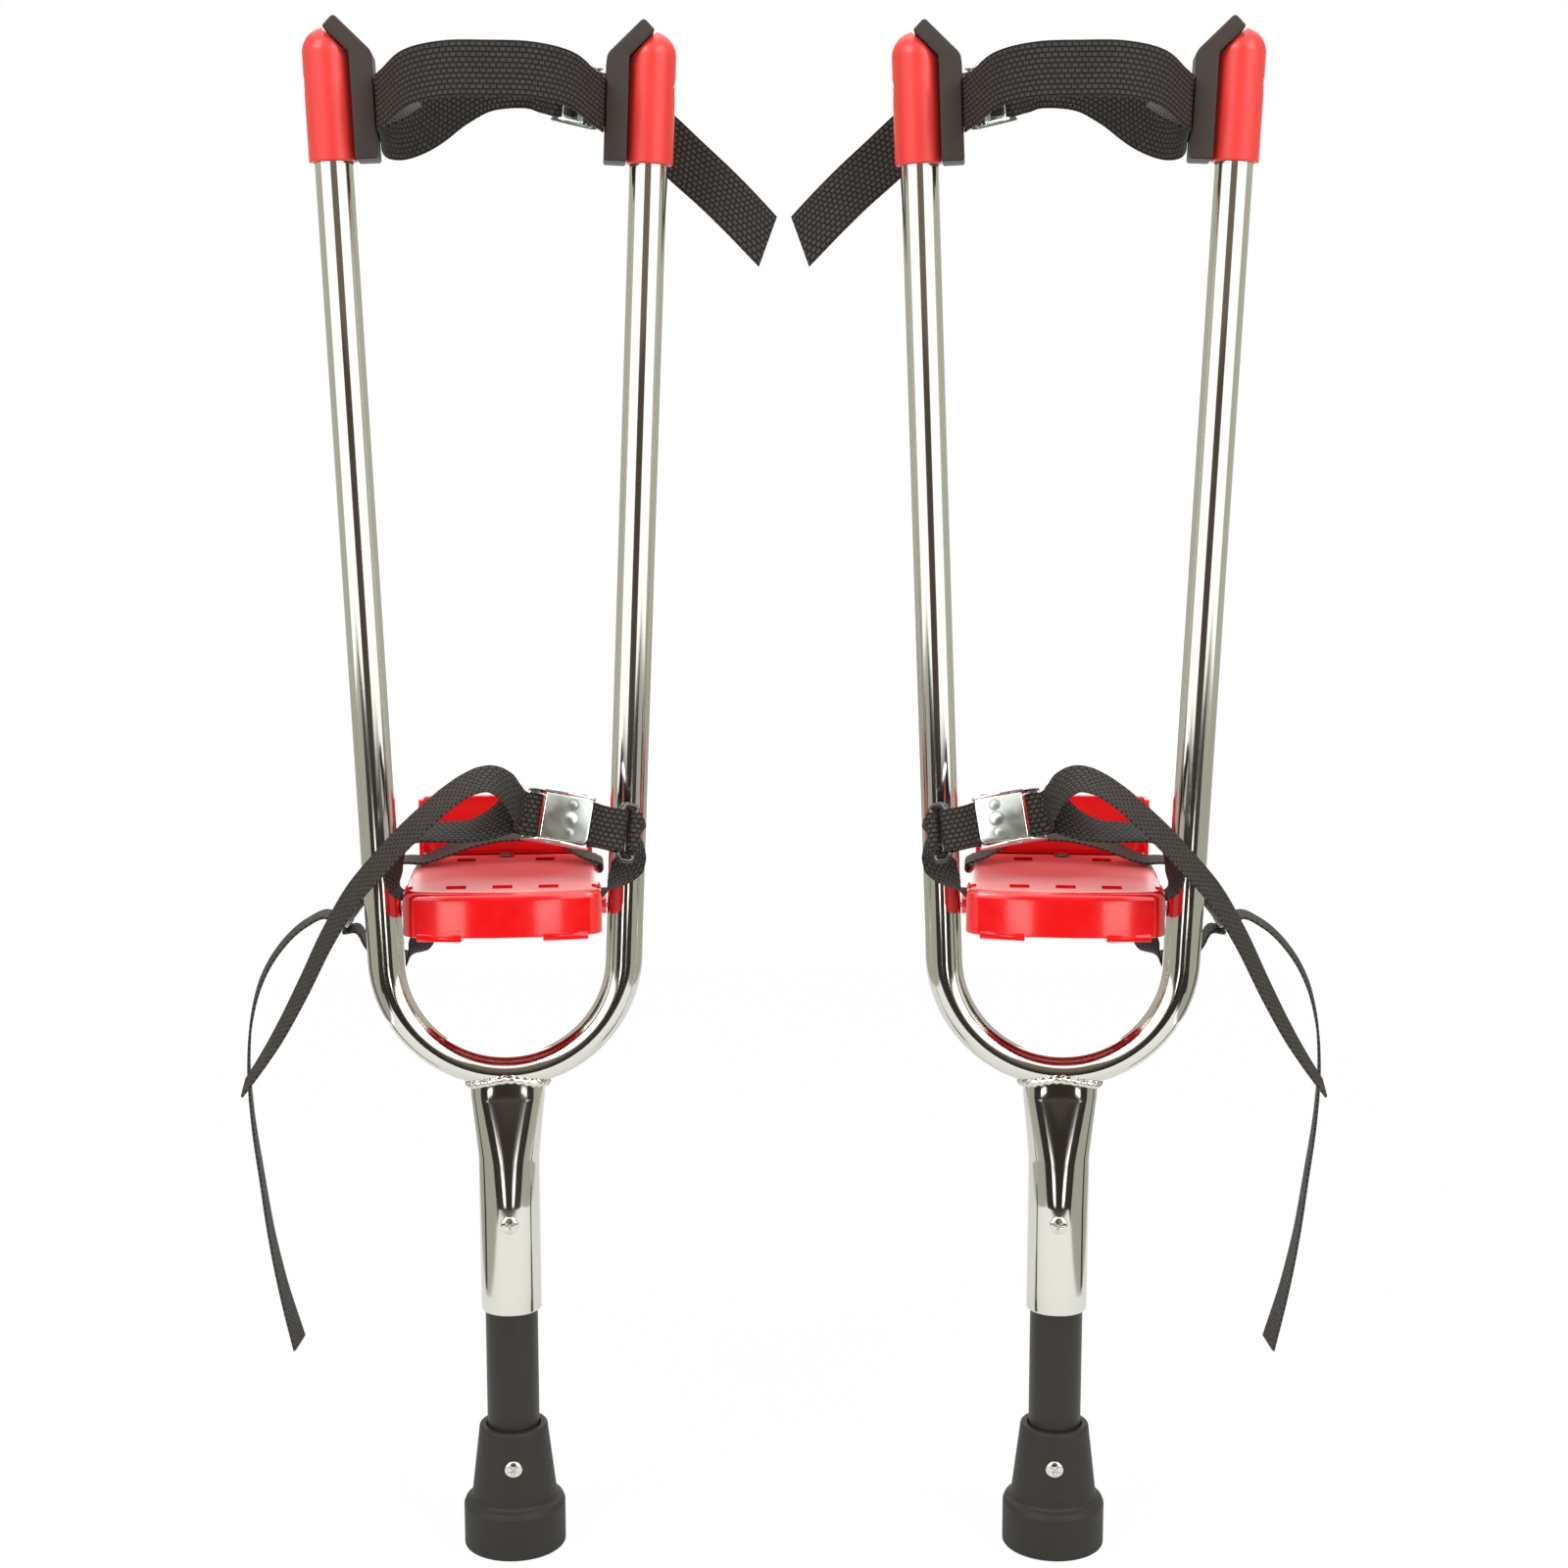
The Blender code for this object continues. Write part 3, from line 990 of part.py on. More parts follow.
def build_ankle_strap(stilt):
    """Ankle webbing: from its buckle over the plate, back through it into the buckle, and its tail."""
    lying = (0.0, 1.0, 0.0)
    depth = ANKLE_SLOT_Y
    axes = stilt.axes((-0.0905, depth, plate_top - 0.0190), (0.60, 0.0, 0.80), lying)
    build_buckle(stilt, "ankle", axes, FOOT_WEB_WIDTH)
    base = plate_top - PLATE_HEIGHT
    inside = plate_top - PLATE_TOP - STRAP_SLOT_HEIGHT / 2
    over = [
        ((-0.0570, depth, plate_top + 0.0075), lying),
        ((-0.0460, depth, plate_top + 0.0058), (0.0, 1.0, 0.05)),
        ((-0.0240, depth - 0.001, plate_top + 0.0142), (0.0, 1.0, 0.12)),
        ((0.0080, depth - 0.002, plate_top + 0.0192), (0.0, 1.0, 0.16)),
        ((0.0340, depth - 0.001, plate_top + 0.0142), (0.0, 1.0, 0.12)),
        ((0.0460, depth, plate_top + 0.0055), (0.0, 1.0, 0.04)),
        *edge_turn(depth),
        ((0.0300, depth, inside - 0.0005), lying),
        ((0.0, depth, inside - 0.0020), lying),
        ((-0.0300, depth, inside - 0.0040), lying),
        ((-0.0420, depth, inside - 0.0100), lying),
        ((-0.0462, depth, base - 0.0010), (0.1, 1.0, 0.0)),
        ((-0.0485, depth, base - 0.0130), (0.35, 0.93, 0.0)),
        ((-0.0535, depth, base - 0.0245), (0.45, 0.89, 0.0)),
        ((-0.0630, depth, base - 0.0315), (0.3, 0.95, 0.0)),
        ((-0.0740, depth, base - 0.0300), (0.1, 1.0, 0.0)),
        ((-0.0835, depth, base - 0.0220), lying),
        ((-0.0900, depth, base - 0.0120), lying),
    ]
    tail = [
        ((-0.1080, depth, plate_top - 0.0295), lying),
        ((-0.1195, depth, plate_top - 0.0345), (-0.04, 1.0, 0.0)),
        ((-0.1370, depth, plate_top - 0.0510), (-0.08, 1.0, 0.0)),
        ((-0.1475, depth, plate_top - 0.0690), (-0.1, 1.0, 0.0)),
        ((-0.1540, depth, plate_top - 0.0910), (-0.1, 1.0, 0.0)),
        ((-0.1570, depth, plate_top - 0.1200), (-0.1, 1.0, 0.0)),
        ((-0.1558, depth, plate_top - 0.1540), (-0.09, 1.0, 0.0)),
        ((-0.1515, depth, plate_top - 0.1920), (-0.06, 1.0, 0.0)),
        ((-0.1465, depth, plate_top - 0.2310), (-0.02, 1.0, 0.0)),
        ((-0.1400, depth, plate_top - 0.2660), (0.05, 1.0, 0.0)),
        ((-0.1318, depth, plate_top - 0.3000), (0.15, 1.0, 0.05)),
    ]
    route = rear_bar_turn(axes) + stilt.mirrored(over) + front_bar_turn(axes) + stilt.mirrored(tail)
    add_part(stilt.name("ankle_strap"), ribbon_mesh(route, FOOT_WEB_WIDTH), WEBBING, stilt.base)


def build_stilt(prefix, mirror):
    """Every piece of one stilt."""
    stilt = Stilt(prefix, mirror)
    add_cap_frames(stilt)
    build_peg(stilt)
    build_stem(stilt)
    build_frame(stilt)
    build_plate(stilt)
    build_heel(stilt)
    for label in stilt.uprights:
        build_cap(stilt, label)
    build_knee_strap(stilt)
    build_toe_strap(stilt)
    build_ankle_strap(stilt)


clear_scene()
build_stilt("left", 1)
build_stilt("right", -1)
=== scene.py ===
"""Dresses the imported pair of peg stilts: tubes, red mouldings, rubber, cam buckles and woven straps.

Every piece is worked out for the left stilt in that stilt's own frame, in metres, with +Z up and the front
towards -Y. The right stilt is its mirror image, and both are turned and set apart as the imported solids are.
"""

import math
from types import SimpleNamespace

import bmesh
import bpy
import numpy as np
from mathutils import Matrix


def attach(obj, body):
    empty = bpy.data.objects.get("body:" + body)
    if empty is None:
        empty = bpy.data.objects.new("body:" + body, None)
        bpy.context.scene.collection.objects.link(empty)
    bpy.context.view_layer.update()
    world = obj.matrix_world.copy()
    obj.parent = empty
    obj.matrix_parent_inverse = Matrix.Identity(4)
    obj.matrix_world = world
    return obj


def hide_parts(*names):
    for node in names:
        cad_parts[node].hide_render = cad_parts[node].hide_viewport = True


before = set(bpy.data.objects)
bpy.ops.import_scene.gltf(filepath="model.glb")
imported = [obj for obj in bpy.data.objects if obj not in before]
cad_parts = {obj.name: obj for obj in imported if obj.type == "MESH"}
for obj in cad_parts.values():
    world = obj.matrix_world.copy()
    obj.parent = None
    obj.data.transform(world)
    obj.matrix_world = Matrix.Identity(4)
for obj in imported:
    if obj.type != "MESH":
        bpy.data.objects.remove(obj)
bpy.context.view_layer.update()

bl_info = {
    "name": "Peg stilts",
    "version": (1, 0, 0),
    "blender": (4, 5, 0),
    "location": "View3D > Sidebar > Stilts",
    "description": "Builds the visible surfaces of a pair of strap-on peg stilts over their solids",
    "category": "Object",
}

SIDES = {"left": 1.0, "right": -1.0}
CAP_SIDES = {"outer": -1.0, "inner": 1.0}

# Clearances between pieces
FIT_GAP = 0.0003
SLIDE_GAP = 0.0004
WEB_CLEARANCE = 0.00035

# Section at the bottom of the bend, as shares of the round tube
BEND_SQUASH = 0.88
BEND_SWELL = 0.35

# Stem: its wall, its squashed top as half width and half depth, and how the round section gets there
STEM_WALL = 0.0020
STEM_EDGE = 0.0012
STEM_EDGE_STEP = 0.0001
STEM_TOP = (0.0223, 0.0112)
STEM_TOP_BAND = 0.004
STEM_SQUASH = 0.072
STEM_WIDENS = 0.4
STEM_EASE = 1.1
STEM_FLAT = 0.4
STEM_SIDES = 128
WELD_SEAT = 0.4

# Peg, between the foot and the stem
PEG_WALL = 0.0018
PEG_EDGE = 0.0004
PEG_BOTTOM = 0.009
PEG_SHOWN = 0.074
PEG_IN_STEM = 0.066

# Rubber foot: radii and heights of its profile
FOOT_MOUTH = 0.0207
FOOT_WAIST = (0.0262, 0.0308)
FOOT_SHOULDER = (0.0012, 0.0290)
FOOT_COLLAR_TOP = 0.0262
FOOT_HOLE = (0.006, 0.0087)
FOOT_LIP = 0.0004
FOOT_TAPER = (0.002, 0.0335)
FOOT_RADII = (FOOT_LIP, 0.0016, 0.0026, 0.0012, 0.0012, 0.0014, 0.0003, 0.0003, 0.0003)

# Footplate
PLATE_ABOVE_BEND = 0.051
PLATE_FRONT = 0.0592
PLATE_BOW = 0.0072
PLATE_BACK = 0.0625
PLATE_HEIGHT = 0.0265
PLATE_CORNER = 0.008
PLATE_REAR_CORNER = 0.0015
PLATE_WALL = 0.0025
PLATE_TOP = 0.003
PLATE_EDGE = 0.0045
PLATE_LOWER_EDGE = 0.0005
PLATE_FLAT_STEP = 0.0007
PLATE_TOP_RING = 0.0062
TRAY_FILLET = 0.0006
TRAY_CHAMFER = 0.0004

# Square slots in the footplate's top: a row at the toes with a notch at each end, and two at the heel
SLOT_SIZE = (0.0115, 0.0105)
SLOT_CORNER = 0.0012
SLOT_EDGE = 0.0002
SLOT_CUTTER = 0.012
SLOT_DEPTH = 0.005
NOTCH_DEPTH = 0.0026
TOE_ROW = (0.0265, -0.048)
HEEL_ROW = (0.02385, 0.040)

# Openings for the straps in the sides of the footplate
TOE_SLOT_Y = -0.038
ANKLE_SLOT_Y = 0.0275
STRAP_SLOT = (0.027, 0.0065)
STRAP_SLOT_REACH = 0.010
STRAP_SLOT_CORNER = 0.0008
STRAP_SLOT_EDGE = 0.0004
STRAP_SLOT_TOP = 0.0031

# Tabs under the footplate's front, and bosses at its sides
TAB_SIZE = (0.026, 0.0044, 0.0021)
TAB_EDGES = (0.0005, 0.0003)
TAB_INSET = 0.021
TAB_SET_BACK = 0.0011
BOSS_RADIUS = 0.006
BOSS_EDGE = 0.0004
BOSS_SINK = 0.001
BOSS_BELOW_TOP = 0.0205

# Heel cup
HEEL_HALF = 0.0529
HEEL_WALL = 0.003
HEEL_HEIGHT = 0.036
HEEL_RETURN = 0.016
HEEL_CORNER = 0.009
HEEL_END = 0.0012
HEEL_EDGE = 0.0011
HEEL_LOWER_HEIGHT = 0.044
HEEL_LOWER_EDGES = (0.0008, 0.0006)
TONGUE_HALF = 0.028
TONGUE_REACH = (0.024, 0.001)
TONGUE_EDGES = (0.001, 0.0003)
TONGUE_DROP = 0.0048
HEEL_OUTSIDE = PLATE_BACK + FIT_GAP + HEEL_WALL

# Caps and the dimples for their screws
CAP_BORE = 0.0585
CAP_CROWN = 0.0015
CAP_EDGE = 0.0006
CAP_SCREW_HEIGHT = 0.043
CAP_SCREW_SINK = 0.0012
DIMPLE_RADIUS = 0.0047
DIMPLE_SLOPE = 0.0008
DIMPLE_DEPTH = 0.0018

# Knee pads
PAD_DEPTH = 0.030
PAD_SINK = 0.0010
PAD_GAP = 0.0004
PAD_THICKNESS = 0.0128
PAD_HEIGHT = 0.0585
PAD_TIP_LENGTH = 0.0203
PAD_TIP_THICKNESS = 0.0094
PAD_LEAN = math.radians(44.0)
PAD_RADII = (0.0012, 0.0015, 0.0016, 0.0022, 0.007, 0.0016)
PAD_EDGE = 0.0011

# Screws: radius and height of the head, radius of the shank
PAN_SCREW = (0.0054, 0.0026, 0.0022)
HEEL_SCREW = (0.00486, 0.00156, 0.0022)
CAP_SCREW = (0.0036, 0.0012, 0.0016)
FOOT_SCREW_HEIGHT = 0.056
STEM_SCREW_HEIGHT = 0.058
PAN_SCREW_BITE = 0.004
CAP_SCREW_BITE = 0.0026
HEEL_SCREW_GRIP = 0.0088
HEEL_SCREW_PLACE = 0.55
CROSS_TURN_DEG = {"foot": 38, "stem": 14, "heel": 45, "cap": 30}

# Screw heads, as shares of their radius and height
HEAD_RIM = 0.32
CROSS_ARM = 0.62
CROSS_HALF = 0.13
CROSS_SLOPE = 0.10
CROSS_DEPTH = 0.42

# Cam buckles, measured from the lever's pin
BUCKLE_GAP = 0.0012
BUCKLE_SHEET = 0.0015
BUCKLE_DROP = 0.0042
BUCKLE_FRONT = 0.015
BUCKLE_BAR = 0.006
BUCKLE_REAR = 0.021
BAR_HALF = 0.001
BAR_EDGE = 0.0002
BAR_CORNER = 0.0007
REAR_BAR = 0.0020
PIN_RADIUS = 0.0018
RIVET = (0.0024, 0.0008)
CHEEK_RADII = (0.0010, 0.0022, 0.0022, 0.004, 0.004, 0.0010)
CHEEK_EDGE = 0.0004
CHEEK_SHOULDERS = (2.0, -1.8)
HUB = 0.0038
HUB_REACH = 0.0075
HUB_ARC_DEG = (-110, 20)
HUB_EDGE = 0.0003
HUB_SIDE_GAP = 0.0008

# Lever plate, and its pressed domes as places across it, radii and heights
LEVER_SHEET = 0.0015
LEVER_REACH = 0.0222
LEVER_CORNERS = (0.0008, 0.0034, 0.0034, 0.0008)
LEVER_DROP = 0.0004
LEVER_SINK = 0.0003
LEVER_EDGE = 0.0005
NOSE_LEAD = 0.001
LEVER_NOSE_GAP = 0.0006
DOMES_AT = 0.011
DOMES = ((0.0, 0.0044, 0.00040), (0.0, 0.0013, 0.00115), (-0.62, 0.0034, 0.00016), (0.62, 0.0034, 0.00016))

# Wire ring of the toe strap
RING_WIRE = 0.0015
RING_SPAN = 0.0090
RING_CORNER = 0.003

# Webbing: slant of the knee web's free end, rounding of its edges as a share, and sampling along it
WEB_CUT_DEG = 25.0
WEB_EDGE = 0.45
WEB_STEP = 0.0016

# Webbing at a buckle: the points before and after the front bar, and the sewn end at the rear bar
WEB_IN = (0.005, 1.15)
WEB_OUT = (0.001, 1.3)
SEAM_END = 0.014
ANKLE_SEAM_END = 0.0085
SEAM_STEP = 0.005

# Weave: shade of every other yarn, and the gaps' depth and width. The brick pattern takes no bricks under
# 0.01, so the weave is laid out a hundred times larger
WEAVE_SHADE = 0.8
WEAVE_DEPTH = 0.0007
WEAVE_GAP = 0.0008
WEAVE_SCALE = 100.0

# Cosine of the slope up to which a face of the footplate counts as its tread
TREAD_LEVEL = 0.97

# The room that the chrome mirrors: half widths, the wall behind the camera, its heights, and the side walls
ROOM_MIDDLE = 1.1
ROOM_HALF = 3.2
ROOM_SIDE = 3.0
ROOM_WALL_Y = -3.2
ROOM_LEVELS = (-2.0, 0.08, 0.82, 3.0)
ROOM_SIDE_Y = (-0.7, 8.0)
ROOM_SIDE_TOP = 4.0

# Soft boxes: from and to, across and up, and their distance
SOFTBOX_X = (0.63, 1.1)
SOFTBOX_Z = (-0.30, -0.12)
SOFTBOX_Y = -3.15
SOFTBOX_TINT = (1.0, 0.95, 0.9)
SOFTBOX_STRENGTH = 3.2

# Floor, its share of plain white to the camera, and the world's strength as light and more in reflections
FLOOR_HALF = 0.62
FLOOR_Y = (-0.72, 1.6)
FLOOR_WHITE = 0.975
WORLD_LIGHT = 0.55
WORLD_MIRRORED = 0.6

# Lamps as name, place, size and power, and the camera
LAMPS = (("key_light", (-1.6, -1.9, 2.3), 1.2, 44.0), ("fill_light", (1.7, -1.7, 2.0), 1.2, 36.0),
         ("top_light", (0.0, 0.3, 2.8), 1.6, 16.0))
LAMP_AIM = (0.0, 0.0, 0.45)
CAMERA_PLACE = (0.0, -1.45, 0.695)
CAMERA_LENS = 57.2
CAMERA_DOWN_DEG = 8.61


def linear(code):
    """Linear RGB of an sRGB hex colour."""
    srgb = np.array([int(code[i:i + 2], 16) for i in (0, 2, 4)]) / 255
    return tuple(np.where(srgb <= 0.04045, srgb / 12.92, ((srgb + 0.055) / 1.055) ** 2.4))


def length(label, default, words):
    """A length property in metres."""
    return bpy.props.FloatProperty(
        name=label, description=words, default=default, min=0.0, unit="LENGTH", precision=5)


def angle(label, degrees, words):
    """An angle property, given in degrees."""
    return bpy.props.FloatProperty(
        name=label, description=words, default=math.radians(degrees), subtype="ANGLE")


def colour(label, code, words):
    """A colour property from an sRGB hex value."""
    return bpy.props.FloatVectorProperty(
        name=label, description=words, default=linear(code), subtype="COLOR", min=0.0, max=1.0)


class StiltSizes(bpy.types.PropertyGroup):
    """Sizes of one stilt and of how the pair stands."""

    spacing: length("Spacing", 0.333, "Distance between the axes of the two pegs")
    setback: length("Setback", 0.00859, "How far the pegs stand behind the middle of the whole object")
    toe_in: angle("Toe-in", 5.0, "How far each stilt is turned towards the other")
    tube_diameter: length("Tube diameter", 0.0222, "Outer diameter of the bent tube")
    bend_radius: length("Bend radius", 0.0707, "Radius of the tube's bend, to its axis")
    splay: angle("Splay", 2.28, "Lean of each upright from the vertical")
    upright: length("Upright length", 0.523, "Length of an upright above the bend")
    peg_diameter: length("Peg diameter", 0.0318, "Outer diameter of the black peg tube")
    stem_length: length("Stem length", 0.139, "Length of the stem below the bend")
    weld_radius: length("Weld radius", 0.0025, "Radius of the weld bead")
    foot_height: length("Foot height", 0.077, "Height of the rubber foot")
    collar_radius: length("Collar radius", 0.0311, "Largest radius of the rubber foot")
    plate_width: length("Footplate width", 0.114, "Width of the footplate")
    cap_radius: length("Cap radius", 0.014, "Outer radius of a cap")
    knee_web: length("Knee web width", 0.030, "Width of the knee webbing")
    foot_web: length("Foot web width", 0.025, "Width of the toe and ankle webbing")
    web_thickness: length("Web thickness", 0.0016, "Thickness of the webbing")
    weave_rib: length("Weave rib", 0.0036, "Length of one raised yarn along the web")
    weave_row: length("Weave row", 0.0028, "Spacing of the raised yarns across the web")


class StiltColours(bpy.types.PropertyGroup):
    """Colours of the finishes."""

    chrome: colour("Chrome", "D6D5CD", "Chromed steel")
    zinc: colour("Zinc", "CDD5CF", "Zinc-plated steel")
    red: colour("Red", "F20A10", "Red moulded plastic")
    vinyl: colour("Vinyl", "EA3A33", "Red vinyl of the caps")
    rubber: colour("Rubber", "2B2823", "Rubber foot")
    pad: colour("Pad", "3B322C", "Rubber of the knee pads")
    paint: colour("Paint", "292520", "Satin black of the peg")
    # The webbing's own dark brown, lightened in part as a painted highlight on the raised yarns
    web: colour("Web", "433D36", "Raised yarn of the webbing")
    # Painted shade: a near-black colour laid into the gaps between the yarns, standing in for the shade there
    web_gap_shade: colour("Web gap", "080706", "Shade between the yarns")
    wire: colour("Wire", "141414", "Blackened wire and screws")
    floor: colour("Floor", "F4F4F3", "Studio floor and backdrop")


def sizes():
    """The scene's sizes."""
    return bpy.context.scene.peg_stilt_sizes


def heights():
    """Heights and radii that follow from the sizes."""
    s = sizes()
    h = SimpleNamespace(tube=s.tube_diameter / 2, peg=s.peg_diameter / 2)
    h.bore = h.peg + SLIDE_GAP
    h.stem = h.bore + STEM_WALL
    h.stem_bottom = s.foot_height + PEG_SHOWN
    h.bend_bottom = h.stem_bottom + s.stem_length
    h.bend_centre = h.bend_bottom + h.tube * BEND_SQUASH + s.bend_radius
    h.plate = h.bend_centre + PLATE_ABOVE_BEND
    h.plate_base = h.plate - PLATE_HEIGHT
    h.plate_half = s.plate_width / 2
    h.rim = upright_axis(1, s.upright - CAP_BORE, h)[2]
    return h


class Shell:
    """Surfaces gathered into one mesh: points, faces and a UV pair for each point."""

    def __init__(self):
        self.points, self.faces, self.uvs, self.count = [], [], [], 0

    def add(self, grid, wrap=False, caps=False, uv=None, place=None):
        """Adds a grid of rings. Each ring closes on itself, wrap joins the last ring to the first, and caps
        closes both ends with a flat face."""
        grid = np.asarray(grid, dtype=float)
        if place is not None:
            grid = moved(place, grid)
        rows, columns = grid.shape[:2]
        index = np.arange(rows * columns).reshape(rows, columns) + self.count
        near = index if wrap else index[:-1]
        far = np.roll(index, -1, axis=0) if wrap else index[1:]
        quads = np.stack([near, np.roll(near, -1, axis=1), np.roll(far, -1, axis=1), far], axis=-1)
        self.faces += quads.reshape(-1, 4).tolist()
        if caps:
            self.faces += [index[0, ::-1].tolist(), index[-1].tolist()]
        self.points.append(grid.reshape(-1, 3))
        self.uvs.append(np.zeros((rows * columns, 2)) if uv is None else uv.reshape(-1, 2))
        self.count += rows * columns
        return self

    def join(self, other):
        """Takes in another shell's surfaces."""
        self.faces += [[corner + self.count for corner in face] for face in other.faces]
        self.points += other.points
        self.uvs += other.uvs
        self.count += other.count
        return self

    def mesh(self, name, place):
        """The mesh at its place, with its UV map and with faces turned outwards."""
        mesh = bpy.data.meshes.new(name)
        mesh.from_pydata(moved(place, np.concatenate(self.points)).tolist(), [], self.faces)
        corner = np.empty(len(mesh.loops), dtype=np.int32)
        mesh.loops.foreach_get("vertex_index", corner)
        mesh.uv_layers.new(name="web").data.foreach_set("uv", np.concatenate(self.uvs)[corner].ravel())
        shape = bmesh.new()
        shape.from_mesh(mesh)
        bmesh.ops.recalc_face_normals(shape, faces=shape.faces)
        shape.to_mesh(mesh)
        shape.free()
        return mesh


def moved(place, grid):
    """Points of a grid carried by a 4 x 4 matrix."""
    return grid @ place[:3, :3].T + place[:3, 3]


def unit(vectors):
    """Vectors scaled to length 1."""
    return vectors / np.linalg.norm(vectors, axis=-1, keepdims=True)


def shift(x=0.0, y=0.0, z=0.0):
    """A 4 x 4 matrix that only moves."""
    place = np.eye(4)
    place[:3, 3] = x, y, z
    return place


def axes_at(point, along, across):
    """A matrix at a point whose X runs along and whose Y lies across, made square."""
    along, across = unit(np.array(along, float)), np.array(across, float)
    across = unit(across - across @ along * along)
    place = shift(*point)
    place[:3, :3] = np.stack([along, across, np.cross(along, across)], axis=1)
    return place


def stilt_place(mirror):
    """Where a stilt stands: mirrored for the right one, turned by the toe-in and set to its side."""
    s = sizes()
    place = shift(-mirror * s.spacing / 2, s.setback)
    turn = mirror * s.toe_in
    turned_plan = np.array([[math.cos(turn), -math.sin(turn)], [math.sin(turn), math.cos(turn)]])
    place[:2, :2] = turned_plan * [mirror, 1.0]
    return place


def smooth(mesh, sharp_deg):
    """Smooth shading, apart from edges sharper than an angle."""
    mesh.shade_smooth()
    mesh.set_sharp_from_angle(angle=math.radians(sharp_deg))


def add_pair(piece, shell, finish_name, body="frame", sharp_deg=40, instead=True):
    """Makes the left and the right object of a piece, on their bodies and in place of their solids."""
    made = []
    for side, mirror in SIDES.items():
        mesh = shell.mesh(f"{side}_{piece}_surface", stilt_place(mirror))
        mesh.materials.append(finish(finish_name))
        smooth(mesh, sharp_deg)
        thing = bpy.data.objects.new(f"{side}_{piece}_surface", mesh)
        bpy.context.scene.collection.objects.link(thing)
        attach(thing, body if body == "pegs" else f"{side}_{body}")
        if instead:
            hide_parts(f"{side}_{piece}")
        made.append(thing)
    return made


def around(count):
    """Angles of a full turn."""
    return np.linspace(0, 2 * np.pi, count, endpoint=False)


def turned(profile, sides=72):
    """Lathe surface: a profile of (radius, height) points carried round Z."""
    profile = np.asarray(profile, float)
    a = around(sides)
    radius, height = profile[:, :1], profile[:, 1:]
    return np.stack([radius * np.cos(a), radius * np.sin(a), height + 0 * a], axis=-1)


def rectangle(x0, x1, y0, y1):
    """Corners of a rectangle, anticlockwise."""
    return [(x0, y0), (x1, y0), (x1, y1), (x0, y1)]


def centred(width, depth):
    """Corners of a rectangle about the origin."""
    return rectangle(-width / 2, width / 2, -depth / 2, depth / 2)


def rounded_outline(corners, radii, steps=6, spacing=None):
    """Closed outline with an arc for every corner: the arc's middle lies at its radius from both edges, and
    its points run from the one edge's normal to the other's. Gives points and outward normals."""
    c = np.asarray(corners, float)
    r = np.broadcast_to(np.asarray(radii, float), len(c))
    ahead = np.roll(c, -1, axis=0) - c
    if np.sum(c[:, 0] * ahead[:, 1] - c[:, 1] * ahead[:, 0]) < 0:
        c, r = c[::-1], r[::-1]
    into = unit(c - np.roll(c, 1, axis=0))
    out = unit(np.roll(c, -1, axis=0) - c)
    turn = np.arctan2(into[:, 0] * out[:, 1] - into[:, 1] * out[:, 0], np.sum(into * out, axis=1))
    normal = np.stack([into[:, 1], -into[:, 0]], axis=1)
    bulge = (np.sign(turn) * r)[:, None]
    middle = c - into * (r * np.tan(np.abs(turn) / 2))[:, None] - normal * bulge
    around_corner = turn[:, None] * np.linspace(0, 1, steps + 1)
    bearing = np.arctan2(normal[:, 1], normal[:, 0])[:, None] + around_corner
    normals = np.stack([np.cos(bearing), np.sin(bearing)], axis=-1)
    points = (middle[:, None] + bulge[:, None] * normals).reshape(-1, 2)
    normals = normals.reshape(-1, 2)
    return (points, normals) if spacing is None else spaced_outline(points, normals, spacing)


def spaced_outline(points, normals, spacing):
    """An outline with points added along it at a spacing, apart from those that almost meet another."""
    loop, loop_normals = (np.concatenate([rows, rows[:1]]) for rows in (points, normals))
    run = np.concatenate([[0.0], np.cumsum(np.linalg.norm(np.diff(loop, axis=0), axis=1))])
    wanted = np.unique(np.concatenate([run, np.arange(0, run[-1], spacing)]))[:-1]
    wanted = wanted[np.concatenate([[True], np.diff(wanted) > spacing * 0.02])]
    points = np.stack([np.interp(wanted, run, loop[:, i]) for i in (0, 1)], axis=1)
    normals = unit(np.stack([np.interp(wanted, run, loop_normals[:, i]) for i in (0, 1)], axis=1))
    return points, normals


def rounded_prism(outline, depth, edge, steps=5):
    """An outline carried through a depth along Z. Near both faces it draws in along a quarter circle."""
    points, normals = outline
    a = np.linspace(0, np.pi / 2, steps + 1)
    inset = edge * (1 - np.sin(a))
    level = depth / 2 - edge * (1 - np.cos(a))
    inset = np.concatenate([inset, inset[::-1]])[:, None, None]
    level = np.concatenate([-level, level[::-1]])[:, None, None]
    flat = points - inset * normals
    return np.concatenate([flat, level + 0 * flat[..., :1]], axis=-1)


def rod(radius, span, edge, sides=32):
    """A round rod along Z about its middle, its end edges rounded."""
    a = np.linspace(0, np.pi / 2, 5)
    end = np.stack([radius - edge + edge * np.sin(a), span / 2 - edge + edge * np.cos(a)], axis=1)
    return turned(np.concatenate([end, end[::-1] * [1, -1]]), sides)


# Rounded prisms lie in their X-Y plane, and this turns that plane to X-Z
FACING_Y = np.array([[1.0, 0, 0, 0], [0, 0, 1, 0], [0, 1, 0, 0], [0, 0, 0, 1]])


def upright_axis(sign, along, h):
    """Points on an upright's axis, by their lengths along the tube above the end of the bend."""
    s = sizes()
    x = s.bend_radius * math.cos(s.splay) + along * math.sin(s.splay)
    z = h.bend_centre - s.bend_radius * math.sin(s.splay) + along * math.cos(s.splay)
    return np.stack([sign * x, 0 * x, z], axis=-1)


def bend_section(lean, extra=0.0):
    """Half height and half width of the tube by the angle round the bend. With the angle's cosine, towards
    the bottom of the bend, it loses height and gains width."""
    tube = heights().tube
    flat = 1 - (1 - BEND_SQUASH) * np.cos(lean)
    return tube * flat + extra, tube * (1 + BEND_SWELL * (1 - flat)) + extra


